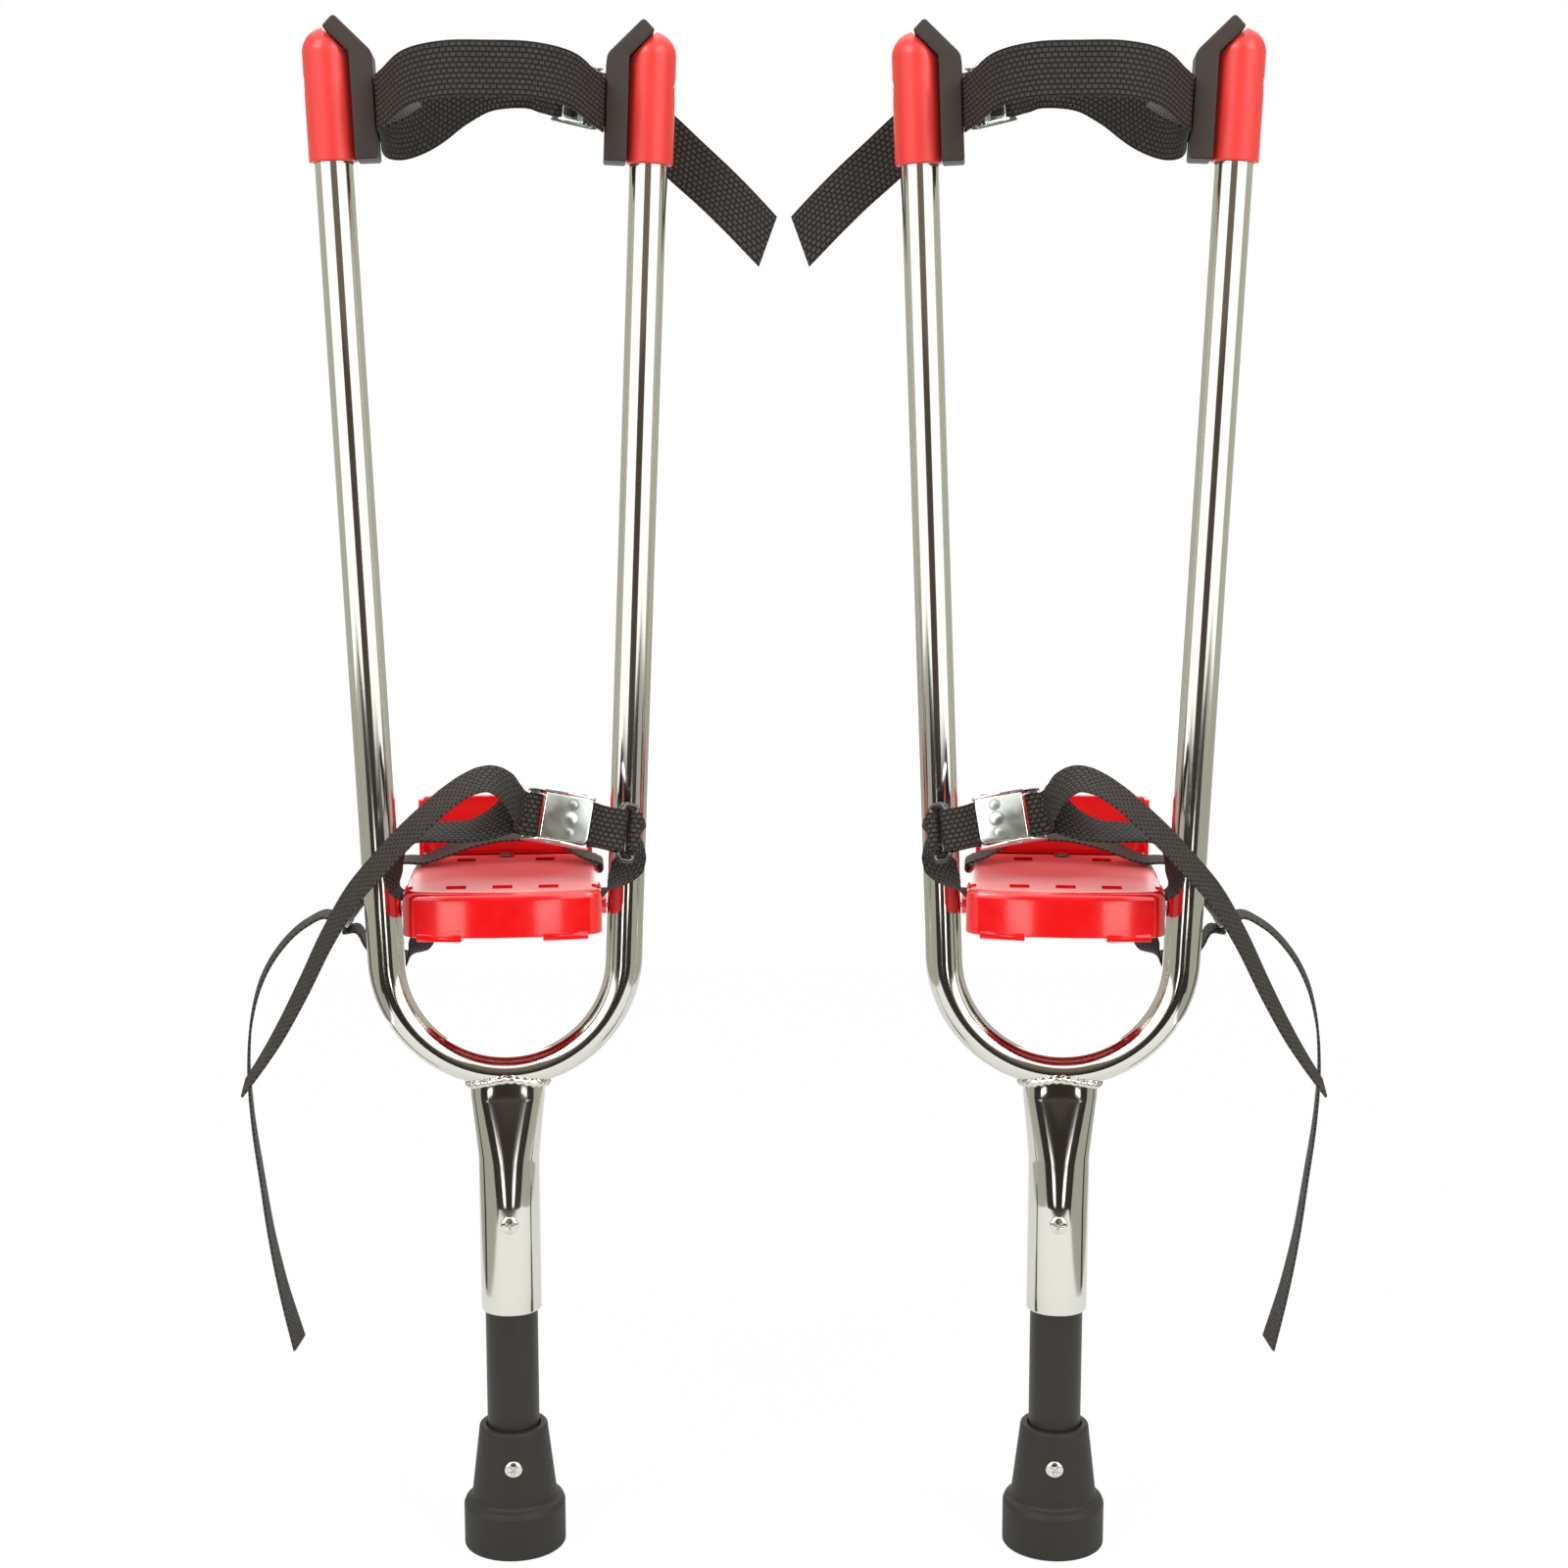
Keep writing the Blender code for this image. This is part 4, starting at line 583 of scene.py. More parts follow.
def bent_tube():
    """The U: an ellipse carried down one upright, round the bend and up the other."""
    s, h = sizes(), heights()
    reach = np.pi / 2 - s.splay
    straight = upright_axis(1, np.linspace(s.upright, 0, 40, endpoint=False), h)
    lean = np.linspace(-reach, reach, 121)
    bend = np.stack([np.sin(lean), 0 * lean, -np.cos(lean)], axis=1) * s.bend_radius + [0, 0, h.bend_centre]
    middle = np.concatenate([straight * [-1, 1, 1], bend, straight[::-1]])
    lean = np.pad(lean, len(straight), mode="edge")
    out = np.stack([np.sin(lean), 0 * lean, -np.cos(lean)], axis=1)
    high, wide = (half[:, None, None] for half in bend_section(lean))
    a = around(64)[None, :, None]
    return middle[:, None] + high * np.cos(a) * out[:, None] + wide * np.sin(a) * np.array([0.0, 1.0, 0.0])


def bend_underside(x, y, extra):
    """Height of the bend's underside over plan points, on a section swollen by extra."""
    s, h = sizes(), heights()
    high, wide = bend_section(np.arcsin(np.clip(x / s.bend_radius, -1, 1)), extra)
    drop = high * np.sqrt(np.clip(1 - (y / wide) ** 2, 0, None))
    return h.bend_centre - np.sqrt((s.bend_radius + drop) ** 2 - x**2)


def stem_wall(inset):
    """The stem from its lower edge up. Its circle loses depth by a power of the height and later gains width:
    its left and right halves move apart by a tanh curve, which leaves a flat V in front. Its top follows the
    bend."""
    h = heights()
    start = h.bend_bottom - STEM_SQUASH
    share = np.linspace(0, 1, 60)
    straight = np.linspace(h.stem_bottom + STEM_EDGE + STEM_EDGE_STEP, start, 6, endpoint=False)
    level = np.concatenate([straight, start + share * (STEM_SQUASH - STEM_TOP_BAND)])
    share = np.pad(share, (len(straight), 0))[:, None]
    widening = np.clip((share - STEM_WIDENS) / (1 - STEM_WIDENS), 0, 1)
    wide = h.stem + widening**STEM_EASE * (STEM_TOP[0] - h.stem) - inset
    deep = h.stem + share**STEM_EASE * (STEM_TOP[1] - h.stem) - inset
    a = around(STEM_SIDES)
    x = deep * np.cos(a) + (wide - deep) * np.tanh(np.cos(a) / STEM_FLAT) / math.tanh(1 / STEM_FLAT)
    y = deep * np.sin(a)
    top = bend_underside(x[-1:], y[-1:], FIT_GAP)
    level = np.repeat(level[:, None], len(a), axis=1)
    level[-1] = top
    level[-2] = 0.5 * level[-3] + 0.5 * np.minimum(top, level[-2])
    return np.stack([x, y, level], axis=-1)


def stem_tube():
    """Both walls of the stem, joined round its lower edge, whose outer corner is a quarter circle."""
    h = heights()
    a = np.linspace(-np.pi / 2, 0, 6)[:-1]
    radius, level = h.stem - STEM_EDGE * (1 - np.cos(a)), h.stem_bottom + STEM_EDGE * (1 + np.sin(a))
    edge = turned(np.stack([radius, level], axis=1), STEM_SIDES)
    low = turned([(h.bore, h.stem_bottom)], STEM_SIDES)
    return np.concatenate([edge, stem_wall(0.0), stem_wall(STEM_WALL)[::-1], low])


def weld_bead():
    """A round bead carried along the stem's upper edge. Overlapping waves swell it to a row of ripples."""
    s = sizes()
    a = around(260)
    reach = WELD_SEAT * s.weld_radius
    x, y = (STEM_TOP[0] + reach) * np.cos(a), (STEM_TOP[1] + reach) * np.sin(a)
    middle = np.stack([x, y, bend_underside(x, y, reach)], axis=1)
    out = np.stack([np.cos(a), np.sin(a), 0 * a], axis=1)[:, None]
    b = around(18)[None, :]
    drops = 0.14 * np.abs(np.sin(19 * a + 1.3 * np.sin(3 * a))) + 0.10 * np.sin(7 * a + 0.6)
    radius = s.weld_radius * (0.80 + drops[:, None] + 0.10 * np.sin(31 * a[:, None] + 2 * b))
    up = np.array([0.0, 0.0, 1.0])
    return middle[:, None] + radius[..., None] * (np.cos(b)[..., None] * out + np.sin(b)[..., None] * up)


def pan_head(screw, grip, cross_deg):
    """A screw along -Z: a domed head whose top sinks into a cross-shaped recess, then a plain shank."""
    radius, height, shank = screw
    r = np.concatenate([np.linspace(0.02, 0.72, 22), np.sin(np.radians(np.linspace(48, 90, 8)))]) * radius
    a = around(96)
    x, y = r[:, None] * np.cos(a), r[:, None] * np.sin(a)
    dome = height * (HEAD_RIM + (1 - HEAD_RIM) * np.sqrt(np.clip(1 - (r / radius) ** 2, 0, 1)))[:, None]
    t = math.radians(cross_deg)
    u, v = np.abs(x * math.cos(t) + y * math.sin(t)), np.abs(y * math.cos(t) - x * math.sin(t))
    arm, half = CROSS_ARM * radius, CROSS_HALF * radius
    inside = np.maximum(np.minimum(arm - u, half - v), np.minimum(half - u, arm - v))
    sink = np.clip(inside / (CROSS_SLOPE * radius), 0, 1) * CROSS_DEPTH * height
    head = np.stack([x, y, dome - sink], axis=-1)
    rest = turned([(radius, 0.0), (shank, 0.0), (shank, -grip)], 96)
    return np.concatenate([head, rest])


def rubber_foot():
    """The ferrule's closed profile with its corners rounded, carried round the peg."""
    s, h = sizes(), heights()
    mouth, rim, collar = h.peg + FIT_GAP, s.foot_height, s.collar_radius
    hole, seat = FOOT_HOLE
    inset, shoulder = FOOT_SHOULDER
    corners = [(mouth + FOOT_LIP, rim), (FOOT_MOUTH, rim), FOOT_WAIST, (collar - inset, shoulder),
               (collar, FOOT_COLLAR_TOP), (collar, 0.0), (hole, 0.0), (hole, seat), (mouth, seat)]
    points, _ = rounded_outline(corners, FOOT_RADII, 6, 0.002)
    return turned(points, 120)


def foot_radius(level):
    """Radius of the foot's tapered neck at a height, as a straight line from its mouth down to its waist."""
    rim = sizes().foot_height
    taper = (rim - FOOT_TAPER[0] - level) / (rim - FOOT_TAPER[1])
    return FOOT_MOUTH + taper * (FOOT_WAIST[0] - FOOT_MOUTH)


def peg_tube():
    """The peg's closed wall profile, carried round its axis."""
    h = heights()
    corners = rectangle(h.peg - PEG_WALL, h.peg, PEG_BOTTOM, h.stem_bottom + PEG_IN_STEM)
    points, _ = rounded_outline(corners, PEG_EDGE, 4, 0.006)
    return turned(points, 96)


def plate_plan():
    """Plan of the footplate: round front corners, and a front edge bowed forwards by a parabola."""
    half = heights().plate_half
    radii = [PLATE_CORNER, PLATE_CORNER, PLATE_REAR_CORNER, PLATE_REAR_CORNER]
    points, normals = rounded_outline(rectangle(-half, half, -PLATE_FRONT, PLATE_BACK), radii, 12, 0.002)
    share = np.clip((-points[:, 1] - (PLATE_FRONT - PLATE_CORNER)) / PLATE_CORNER, 0, 1)
    points[:, 1] -= PLATE_BOW * share * (1 - (points[:, 0] / half) ** 2)
    normals[:, 0] -= share * PLATE_BOW * 2 * points[:, 0] / half**2 * normals[:, 1]
    return points, unit(normals)


def tray():
    """The footplate's shell: its plan carried from the ceiling of the hollow down the inside, round the lower
    edge, up the outside and in over the rounded upper edge."""
    h = heights()
    points, normals = plate_plan()
    top, base, ceiling = h.plate, h.plate_base, h.plate - PLATE_TOP
    a = np.linspace(0, np.pi / 2, 9)
    over = np.stack([PLATE_EDGE * (1 - np.cos(a)), top - PLATE_EDGE * (1 - np.sin(a))], axis=1)
    b = a[::4]
    under = np.stack([PLATE_LOWER_EDGE * (1 - np.sin(b)), base + PLATE_LOWER_EDGE * (1 - np.cos(b))], axis=1)
    inside = [(2.4 * PLATE_WALL, ceiling), (1.2 * PLATE_WALL, ceiling), (PLATE_WALL, ceiling - TRAY_FILLET),
              (PLATE_WALL, base + TRAY_CHAMFER), (PLATE_WALL - TRAY_CHAMFER, base)]
    outside = [(0.0, base + PLATE_LOWER_EDGE + PLATE_FLAT_STEP), (0.0, top - PLATE_EDGE - PLATE_FLAT_STEP)]
    rows = np.concatenate([inside, under, outside, over, [(PLATE_TOP_RING, top)]])
    flat = points - rows[:, None, :1] * normals
    return np.concatenate([flat, rows[:, None, 1:] + 0 * flat[..., :1]], axis=-1)


def tray_slots():
    """The slots of the footplate's top and the strap openings of its sides, as one mesh of rounded bars."""
    h = heights()
    toe_x, toe_y = TOE_ROW
    heel_x, heel_y = HEEL_ROW
    through = [(-toe_x, toe_y), (0.0, toe_y), (toe_x, toe_y), (-heel_x, heel_y), (heel_x, heel_y)]
    spots = [(*spot, SLOT_DEPTH) for spot in through]
    spots += [(side * h.plate_half, toe_y, NOTCH_DEPTH) for side in (-1, 1)]
    bar = rounded_prism(rounded_outline(centred(*SLOT_SIZE), SLOT_CORNER, 4), SLOT_CUTTER, SLOT_EDGE, 1)
    shell = Shell()
    for x, y, deep in spots:
        shell.add(bar, caps=True, place=shift(x, y, h.plate + SLOT_CUTTER / 2 - deep))
    long, high = STRAP_SLOT
    outline = rounded_outline(centred(STRAP_SLOT_REACH, long), STRAP_SLOT_CORNER, 3)
    for side, y in ((-1, TOE_SLOT_Y), (1, TOE_SLOT_Y), (1, ANKLE_SLOT_Y)):
        shell.add(rounded_prism(outline, high, STRAP_SLOT_EDGE, 2), caps=True,
                  place=shift(side * h.plate_half, y, h.plate - STRAP_SLOT_TOP - high / 2))
    return shell


def plate_fittings():
    """Two tabs under the bowed front, turned along its slope, and a round boss from each side outwards."""
    s, h = sizes(), heights()
    half, bolt = h.plate_half, h.plate - BOSS_BELOW_TOP
    tab = rounded_outline(centred(*TAB_SIZE[:2]), TAB_EDGES[0], 3)
    tab = rounded_prism(tab, TAB_SIZE[2], TAB_EDGES[1], 2)
    share = 1 - TAB_INSET / half
    front = TAB_SET_BACK - PLATE_FRONT - PLATE_BOW * (1 - share**2)
    above_bend = bolt - h.bend_centre + s.bend_radius * math.sin(s.splay)
    axis = s.bend_radius * math.cos(s.splay) + above_bend * math.tan(s.splay)
    reach = axis - h.tube / math.cos(s.splay) - BOSS_RADIUS * math.tan(s.splay) - FIT_GAP
    start = half - BOSS_SINK
    shell = Shell()
    for side in (-1, 1):
        slope = side * 2 * share * PLATE_BOW / half
        spot = (side * share * half, front, h.plate_base)
        shell.add(tab, caps=True, place=axes_at(spot, (1, slope, 0), (0, 0, 1)))
        shell.add(rod(BOSS_RADIUS, reach - start, BOSS_EDGE), caps=True,
                  place=axes_at((side * (start + reach) / 2, 0, bolt), (0, 1, 0), (0, 0, 1)))
    return shell


def heel_cup():
    """The cup's plan, a bent wall with returns, carried up its height with rounded edges, then the flat wall
    below it and the tongue that lies under the footplate's top."""
    h = heights()
    half, back, wall = HEEL_HALF, HEEL_OUTSIDE, HEEL_WALL
    front = back - HEEL_RETURN
    corners = [(half, front), (half, back), (-half, back), (-half, front), (-half + wall, front),
               (-half + wall, back - wall), (half - wall, back - wall), (half - wall, front)]
    bend = HEEL_CORNER - wall
    radii = [HEEL_END, HEEL_CORNER, HEEL_CORNER, HEEL_END, HEEL_END, bend, bend, HEEL_END]
    plan = rounded_outline(corners, radii, 12, 0.003)
    shell = Shell().add(rounded_prism(plan, HEEL_HEIGHT, HEEL_EDGE), caps=True,
                        place=shift(z=h.plate + FIT_GAP + HEEL_HEIGHT / 2))
    flat = half - HEEL_CORNER
    lower = rectangle(-flat, flat, back - wall + FIT_GAP, back - FIT_GAP)
    lower = rounded_outline(lower, HEEL_LOWER_EDGES[0], 4, 0.004)
    shell.add(rounded_prism(lower, HEEL_LOWER_HEIGHT, HEEL_LOWER_EDGES[1]), caps=True,
              place=shift(z=h.plate_base + HEEL_LOWER_HEIGHT / 2))
    near, far = (back - reach for reach in TONGUE_REACH)
    tongue = rounded_outline(rectangle(-TONGUE_HALF, TONGUE_HALF, near, far), TONGUE_EDGES[0], 4)
    tongue = rounded_prism(tongue, wall, TONGUE_EDGES[1])
    return shell.add(tongue, caps=True, place=shift(z=h.plate - TONGUE_DROP))


def cap_place(sign):
    """The frame of a cap: at its lower rim on the upright's axis, leaning with it."""
    s, h = sizes(), heights()
    place = shift(*upright_axis(sign, s.upright - CAP_BORE + FIT_GAP, h))
    lean = sign * s.splay
    place[:3, :3] = [[math.cos(lean), 0, math.sin(lean)], [0, 1, 0], [-math.sin(lean), 0, math.cos(lean)]]
    return place


def pad_lines():
    """The pad's faces as (inward, height) corners: up the cap, over its dome, round the tip and down."""
    near = sizes().cap_radius - PAD_SINK
    far = near + PAD_THICKNESS
    along = np.array([-math.sin(PAD_LEAN), math.cos(PAD_LEAN)])
    thick = np.array([math.cos(PAD_LEAN), math.sin(PAD_LEAN)]) * PAD_TIP_THICKNESS
    knee = np.array([near, PAD_HEIGHT])
    tip = knee + along * PAD_TIP_LENGTH
    shoulder = (far, PAD_HEIGHT + PAD_TIP_THICKNESS / math.sin(PAD_LEAN) - PAD_THICKNESS / math.tan(PAD_LEAN))
    return np.array([(near, 0.0), knee, tip, tip + thick, shoulder, (far, 0.0)])


def red_cap(sign):
    """A round profile with a domed end, cut flat where the pad leans on it and dimpled for its screw."""
    r = sizes().cap_radius
    bore, crown = heights().tube + FIT_GAP, CAP_BORE + CAP_CROWN
    a = np.radians(np.linspace(1, 90, 40))
    dome = np.stack([r * np.sin(a), crown + r * np.cos(a)], axis=1)
    level = np.linspace(crown, CAP_EDGE, 111)[1:]
    wall = np.stack([np.full(len(level), r), level], axis=1)
    lower = [(r - CAP_EDGE / 3, CAP_EDGE / 3), (r - CAP_EDGE, 0.0), (bore, 0.0), (bore, CAP_BORE),
             (CAP_EDGE / 2, CAP_BORE)]
    x, y, z = np.moveaxis(turned(np.concatenate([dome, wall, lower]), 160), -1, 0)
    outside = np.hypot(x, y) > bore + CAP_EDGE / 3
    spot = np.hypot(y, z - CAP_SCREW_HEIGHT)
    sink = np.where(outside & (x < 0), np.clip((DIMPLE_RADIUS - spot) / DIMPLE_SLOPE, 0, 1), 0)
    x = x + sink * np.clip(-(r - DIMPLE_DEPTH) - x, 0, None)
    leaning = np.clip(z - PAD_HEIGHT + CAP_EDGE, 0, None) * math.tan(PAD_LEAN)
    flat = r - PAD_SINK - PAD_GAP - leaning
    grid = np.stack([np.minimum(x, flat) * -sign, y, z], axis=-1)
    return Shell().add(grid, caps=True, place=cap_place(sign))


def knee_pad(sign):
    """The pad's side outline with rounded corners, carried across its depth with rounded edges."""
    outline = rounded_outline(pad_lines(), PAD_RADII, 8, 0.003)
    return Shell().add(rounded_prism(outline, PAD_DEPTH, PAD_EDGE) * [-sign, 1, 1], caps=True,
                       place=cap_place(sign) @ FACING_Y)


def buckle_frame(axes, web):
    """Sheet-steel cheeks with rounded corners, a flat front bar, a round rear bar and domed rivet heads."""
    inside = web / 2 + BUCKLE_GAP
    span = 2 * inside + BUCKLE_SHEET
    rim = BUCKLE_SHEET / 3
    low, rear, front = -BUCKLE_DROP - REAR_BAR - rim, BUCKLE_REAR + REAR_BAR + rim, -BUCKLE_FRONT - rim
    shoulders = [(HUB * share, HUB) for share in CHEEK_SHOULDERS]
    corners = [(front, low), (rear, low), (rear, low + 2 * (REAR_BAR + rim)), *shoulders,
               (front, -BUCKLE_DROP + 2 * BAR_HALF)]
    cheek = rounded_prism(rounded_outline(corners, CHEEK_RADII, 6), BUCKLE_SHEET, CHEEK_EDGE, 3)
    a = np.linspace(0.02, np.pi / 2, 8)
    dome = np.stack([RIVET[0] * np.sin(a), RIVET[1] * np.cos(a)], axis=1)
    head = turned(np.concatenate([dome, [(RIVET[0], -RIVET[1] / 2)]]), 32)
    shell = Shell()
    for side in (-1, 1):
        shell.add(cheek, caps=True, place=axes @ shift(y=side * (inside + BUCKLE_SHEET / 2)) @ FACING_Y)
        shell.add(head, caps=True,
                  place=axes @ axes_at((0, side * (inside + BUCKLE_SHEET), 0), (1, 0, 0), (0, 0, -side)))
    bar = rectangle(-BUCKLE_FRONT, -BUCKLE_FRONT + BUCKLE_BAR, -BAR_HALF, BAR_HALF)
    bar = rounded_prism(rounded_outline(bar, BAR_CORNER, 5), span, BAR_EDGE, 1)
    shell.add(bar, caps=True, place=axes @ shift(z=-BUCKLE_DROP) @ FACING_Y)
    for radius, x, z in ((REAR_BAR, BUCKLE_REAR, -BUCKLE_DROP), (PIN_RADIUS, 0, 0)):
        across = axes_at((x, 0, z), (1, 0, 0), (0, 0, 1))
        shell.add(rod(radius, span, BAR_EDGE), caps=True, place=axes @ across)
    return shell


def buckle_lever(axes, web):
    """The cam: a nose and hub carried across the web, and a flat plate with rounded free corners, three
    pressed domes and a rivet in the middle one."""
    half = web / 2 + BUCKLE_GAP / 2
    nose = -BUCKLE_FRONT + BUCKLE_BAR + BAR_HALF + WEB_CLEARANCE + sizes().web_thickness + FIT_GAP
    top = HUB - LEVER_DROP
    a = np.radians(np.linspace(*HUB_ARC_DEG, 9))
    sunk = top - LEVER_SINK
    hub = [*zip(HUB * np.cos(a), HUB * np.sin(a)), (HUB_REACH, top - LEVER_SHEET), (HUB_REACH, sunk),
           (nose + NOSE_LEAD, sunk), (nose, -BUCKLE_DROP / 2)]
    hub = rounded_prism(rounded_outline(hub, HUB_EDGE, 2), 2 * half - HUB_SIDE_GAP, HUB_EDGE, 2)
    shell = Shell().add(hub, caps=True, place=axes @ FACING_Y)
    plan = rounded_outline(rectangle(nose + LEVER_NOSE_GAP, LEVER_REACH, -half, half), LEVER_CORNERS, 10)
    shell.add(rounded_prism(plan, LEVER_SHEET, LEVER_EDGE, 4), caps=True,
              place=axes @ shift(z=top - LEVER_SHEET / 2))
    a = np.linspace(0.02, np.pi, 14)
    for share, radius, height in DOMES:
        bump = np.stack([radius * a / np.pi, height * (0.5 + 0.5 * np.cos(a))], axis=1)
        shell.add(turned(np.concatenate([bump, [(radius, -LEVER_DROP)]]), 40), caps=True,
                  place=axes @ shift(DOMES_AT, share * half, top))
    return shell


def wire_ring(axes, web):
    """A wire circle carried round a long loop with round corners."""
    corners = centred(RING_SPAN, web + 4 * BUCKLE_GAP + 2 * RING_WIRE)
    path, normals = rounded_outline(corners, RING_CORNER, 10, 0.003)
    b = around(20)[None, :, None]
    flat = path[:, None] + RING_WIRE * np.cos(b) * normals[:, None]
    ring = np.concatenate([flat, RING_WIRE * np.sin(b) + 0 * flat[..., :1]], axis=-1)
    return Shell().add(ring, wrap=True, place=axes)


def arc(middle, radius, start_deg, end_deg, steps):
    """Points of a circle's arc."""
    a = np.radians(np.linspace(start_deg, end_deg, steps + 1))
    return np.stack([middle[0] + radius * np.cos(a), middle[1] + radius * np.sin(a)], axis=1)


def on_axes(axes, points):
    """Route points in a buckle's or ring's own plane, as rows of a point and the direction across the web."""
    points = np.atleast_2d(points)
    place = moved(axes, np.stack([points[:, 0], 0 * points[:, 0], points[:, 1]], axis=1))
    return np.hstack([place, np.repeat(axes[None, :3, 1], len(points), axis=0)])


def wrap_radius(bar):
    """Radius of the web's middle where it turns round a bar."""
    return bar + WEB_CLEARANCE + sizes().web_thickness / 2


def front_bar_turn(axes):
    """The web coming in behind the buckle's front bar and going out in front of it."""
    radius = wrap_radius(BAR_HALF)
    turn = arc((-BUCKLE_FRONT + BUCKLE_BAR - FIT_GAP, -BUCKLE_DROP), radius, -90, 90, 6)
    before = [(-BUCKLE_FRONT - WEB_IN[0], -BUCKLE_DROP - radius * WEB_IN[1])]
    after = [(-BUCKLE_FRONT - WEB_OUT[0], -BUCKLE_DROP + radius * WEB_OUT[1])]
    return on_axes(axes, np.vstack([before, turn, after]))


def rear_bar_turn(axes, end=SEAM_END):
    """The sewn end of a web round the buckle's rear bar, where its two layers lie together up to an end."""
    pinch = sizes().web_thickness / 2 + WEB_CLEARANCE
    turn = arc((BUCKLE_REAR, -BUCKLE_DROP), wrap_radius(REAR_BAR), 90, 270, 6)
    level = pinch - BUCKLE_DROP
    flap = np.array([(BUCKLE_REAR + end, level), (BUCKLE_REAR + end - SEAM_STEP, level)])
    return on_axes(axes, np.vstack([flap, turn, flap[::-1] - [0, 2 * pinch]]))


def edge_turn(depth):
    """Route points over the side edge of the footplate's top and back in below it."""
    h = heights()
    radius = PLATE_REAR_CORNER + 2 * WEB_CLEARANCE + sizes().web_thickness / 2
    turn = arc((h.plate_half - PLATE_REAR_CORNER, h.plate - PLATE_REAR_CORNER), radius, 80, -80, 6)
    rows = np.zeros((len(turn), 6))
    rows[:, 0], rows[:, 1], rows[:, 2], rows[:, 4] = turn[:, 0], depth, turn[:, 1], 1.0
    return rows


def lifted(rows, level):
    """Route rows, each a point and the direction across the web there, with heights given above a level."""
    return np.array(rows, float) + [0, 0, level, 0, 0, 0]


def smooth_route(route, closed, step):
    """A cubic curve through the route's points with slopes from their neighbours, sampled by a step. The
    direction across the web changes evenly between the points."""
    route = route.copy()
    flips = np.sign(np.sum(route[1:, 3:] * route[:-1, 3:], axis=1))
    route[1:, 3:] *= np.cumprod(np.where(flips == 0, 1, flips))[:, None]
    count = len(route)
    if closed:
        route = np.vstack([route[-3:], route, route[:3]])
    points, across = route[:, :3], unit(route[:, 3:])
    spans = np.linalg.norm(np.diff(points, axis=0), axis=1)
    slope = np.gradient(points, np.concatenate([[0.0], np.cumsum(spans)]), axis=0)
    first = 3 if closed else 0
    segment = np.arange(first, first + count if closed else count - 1)
    pieces = np.maximum(2, np.ceil(spans[segment] / step).astype(int))
    i = np.repeat(segment, pieces)
    step_index = np.arange(len(i)) - np.repeat(np.cumsum(pieces) - pieces, pieces)
    t = (step_index / np.repeat(pieces, pieces))[:, None]
    span = spans[i][:, None]
    path = ((2 * t**3 - 3 * t**2 + 1) * points[i] + (3 * t**2 - 2 * t**3) * points[i + 1]
            + span * ((t**3 - 2 * t**2 + t) * slope[i] + (t**3 - t**2) * slope[i + 1]))
    width = (1 - t) * across[i] + t * across[i + 1]
    if not closed:
        path, width = np.vstack([path, points[-1]]), np.vstack([width, across[-1]])
    return path, width


def webbing(route, width, closed=False, cut_deg=0.0):
    """A flat section with rounded edges carried along a route, its free end cut at an angle. The UV map is in
    metres, along and across."""
    thick = sizes().web_thickness
    path, across = smooth_route(route, closed, WEB_STEP)
    if closed:
        ahead = np.roll(path, -1, axis=0) - np.roll(path, 1, axis=0)
    else:
        ahead = np.gradient(path, axis=0)
    ahead = unit(ahead)
    across = unit(across - np.sum(across * ahead, axis=1, keepdims=True) * ahead)
    normal = np.cross(ahead, across)
    section, _ = rounded_outline(centred(width, thick), thick * WEB_EDGE, 4, width / 10)
    grid = path[:, None] + section[None, :, :1] * across[:, None] + section[None, :, 1:] * normal[:, None]
    run = np.concatenate([[0.0], np.cumsum(np.linalg.norm(np.diff(path, axis=0), axis=1))])
    slant = -math.copysign(math.tan(math.radians(cut_deg)), across[-1, 2])
    lead = slant * np.clip(1 - (run[-1] - run) / width, 0, 1)[:, None] * ahead
    grid += section[None, :, :1] * lead[:, None]
    uv = np.stack(np.broadcast_arrays(run[:, None], section[None, :, 0]), axis=-1)
    total = run[-1] + (np.linalg.norm(path[0] - path[-1]) if closed else 0.0)
    return Shell().add(grid, wrap=closed, caps=not closed, uv=uv), total


def knee_axes():
    """Place of the knee buckle's pin: X towards its rear bar, Y across the web."""
    return axes_at((0.0543, 0.0452, heights().rim + 0.044), (-0.62, 0.75, 0.22), (0.05, -0.10, 1.0))


def toe_axes():
    """Place of the toe buckle's pin."""
    return axes_at((0.0290, -0.056, heights().plate + 0.042), (0.975, 0.0, -0.18), (0.0, 0.34, 0.94))


def ring_axes():
    """Place of the ring's middle."""
    return axes_at((0.0725, -0.045, heights().plate + 0.030), (0.90, 0.30, -0.25), (0.0, 0.34, 0.94))


def ankle_axes():
    """Place of the ankle buckle's pin."""
    return axes_at((-0.0905, ANKLE_SLOT_Y, heights().plate - 0.0190), (0.60, 0.0, 0.80), (0.0, 1.0, 0.0))


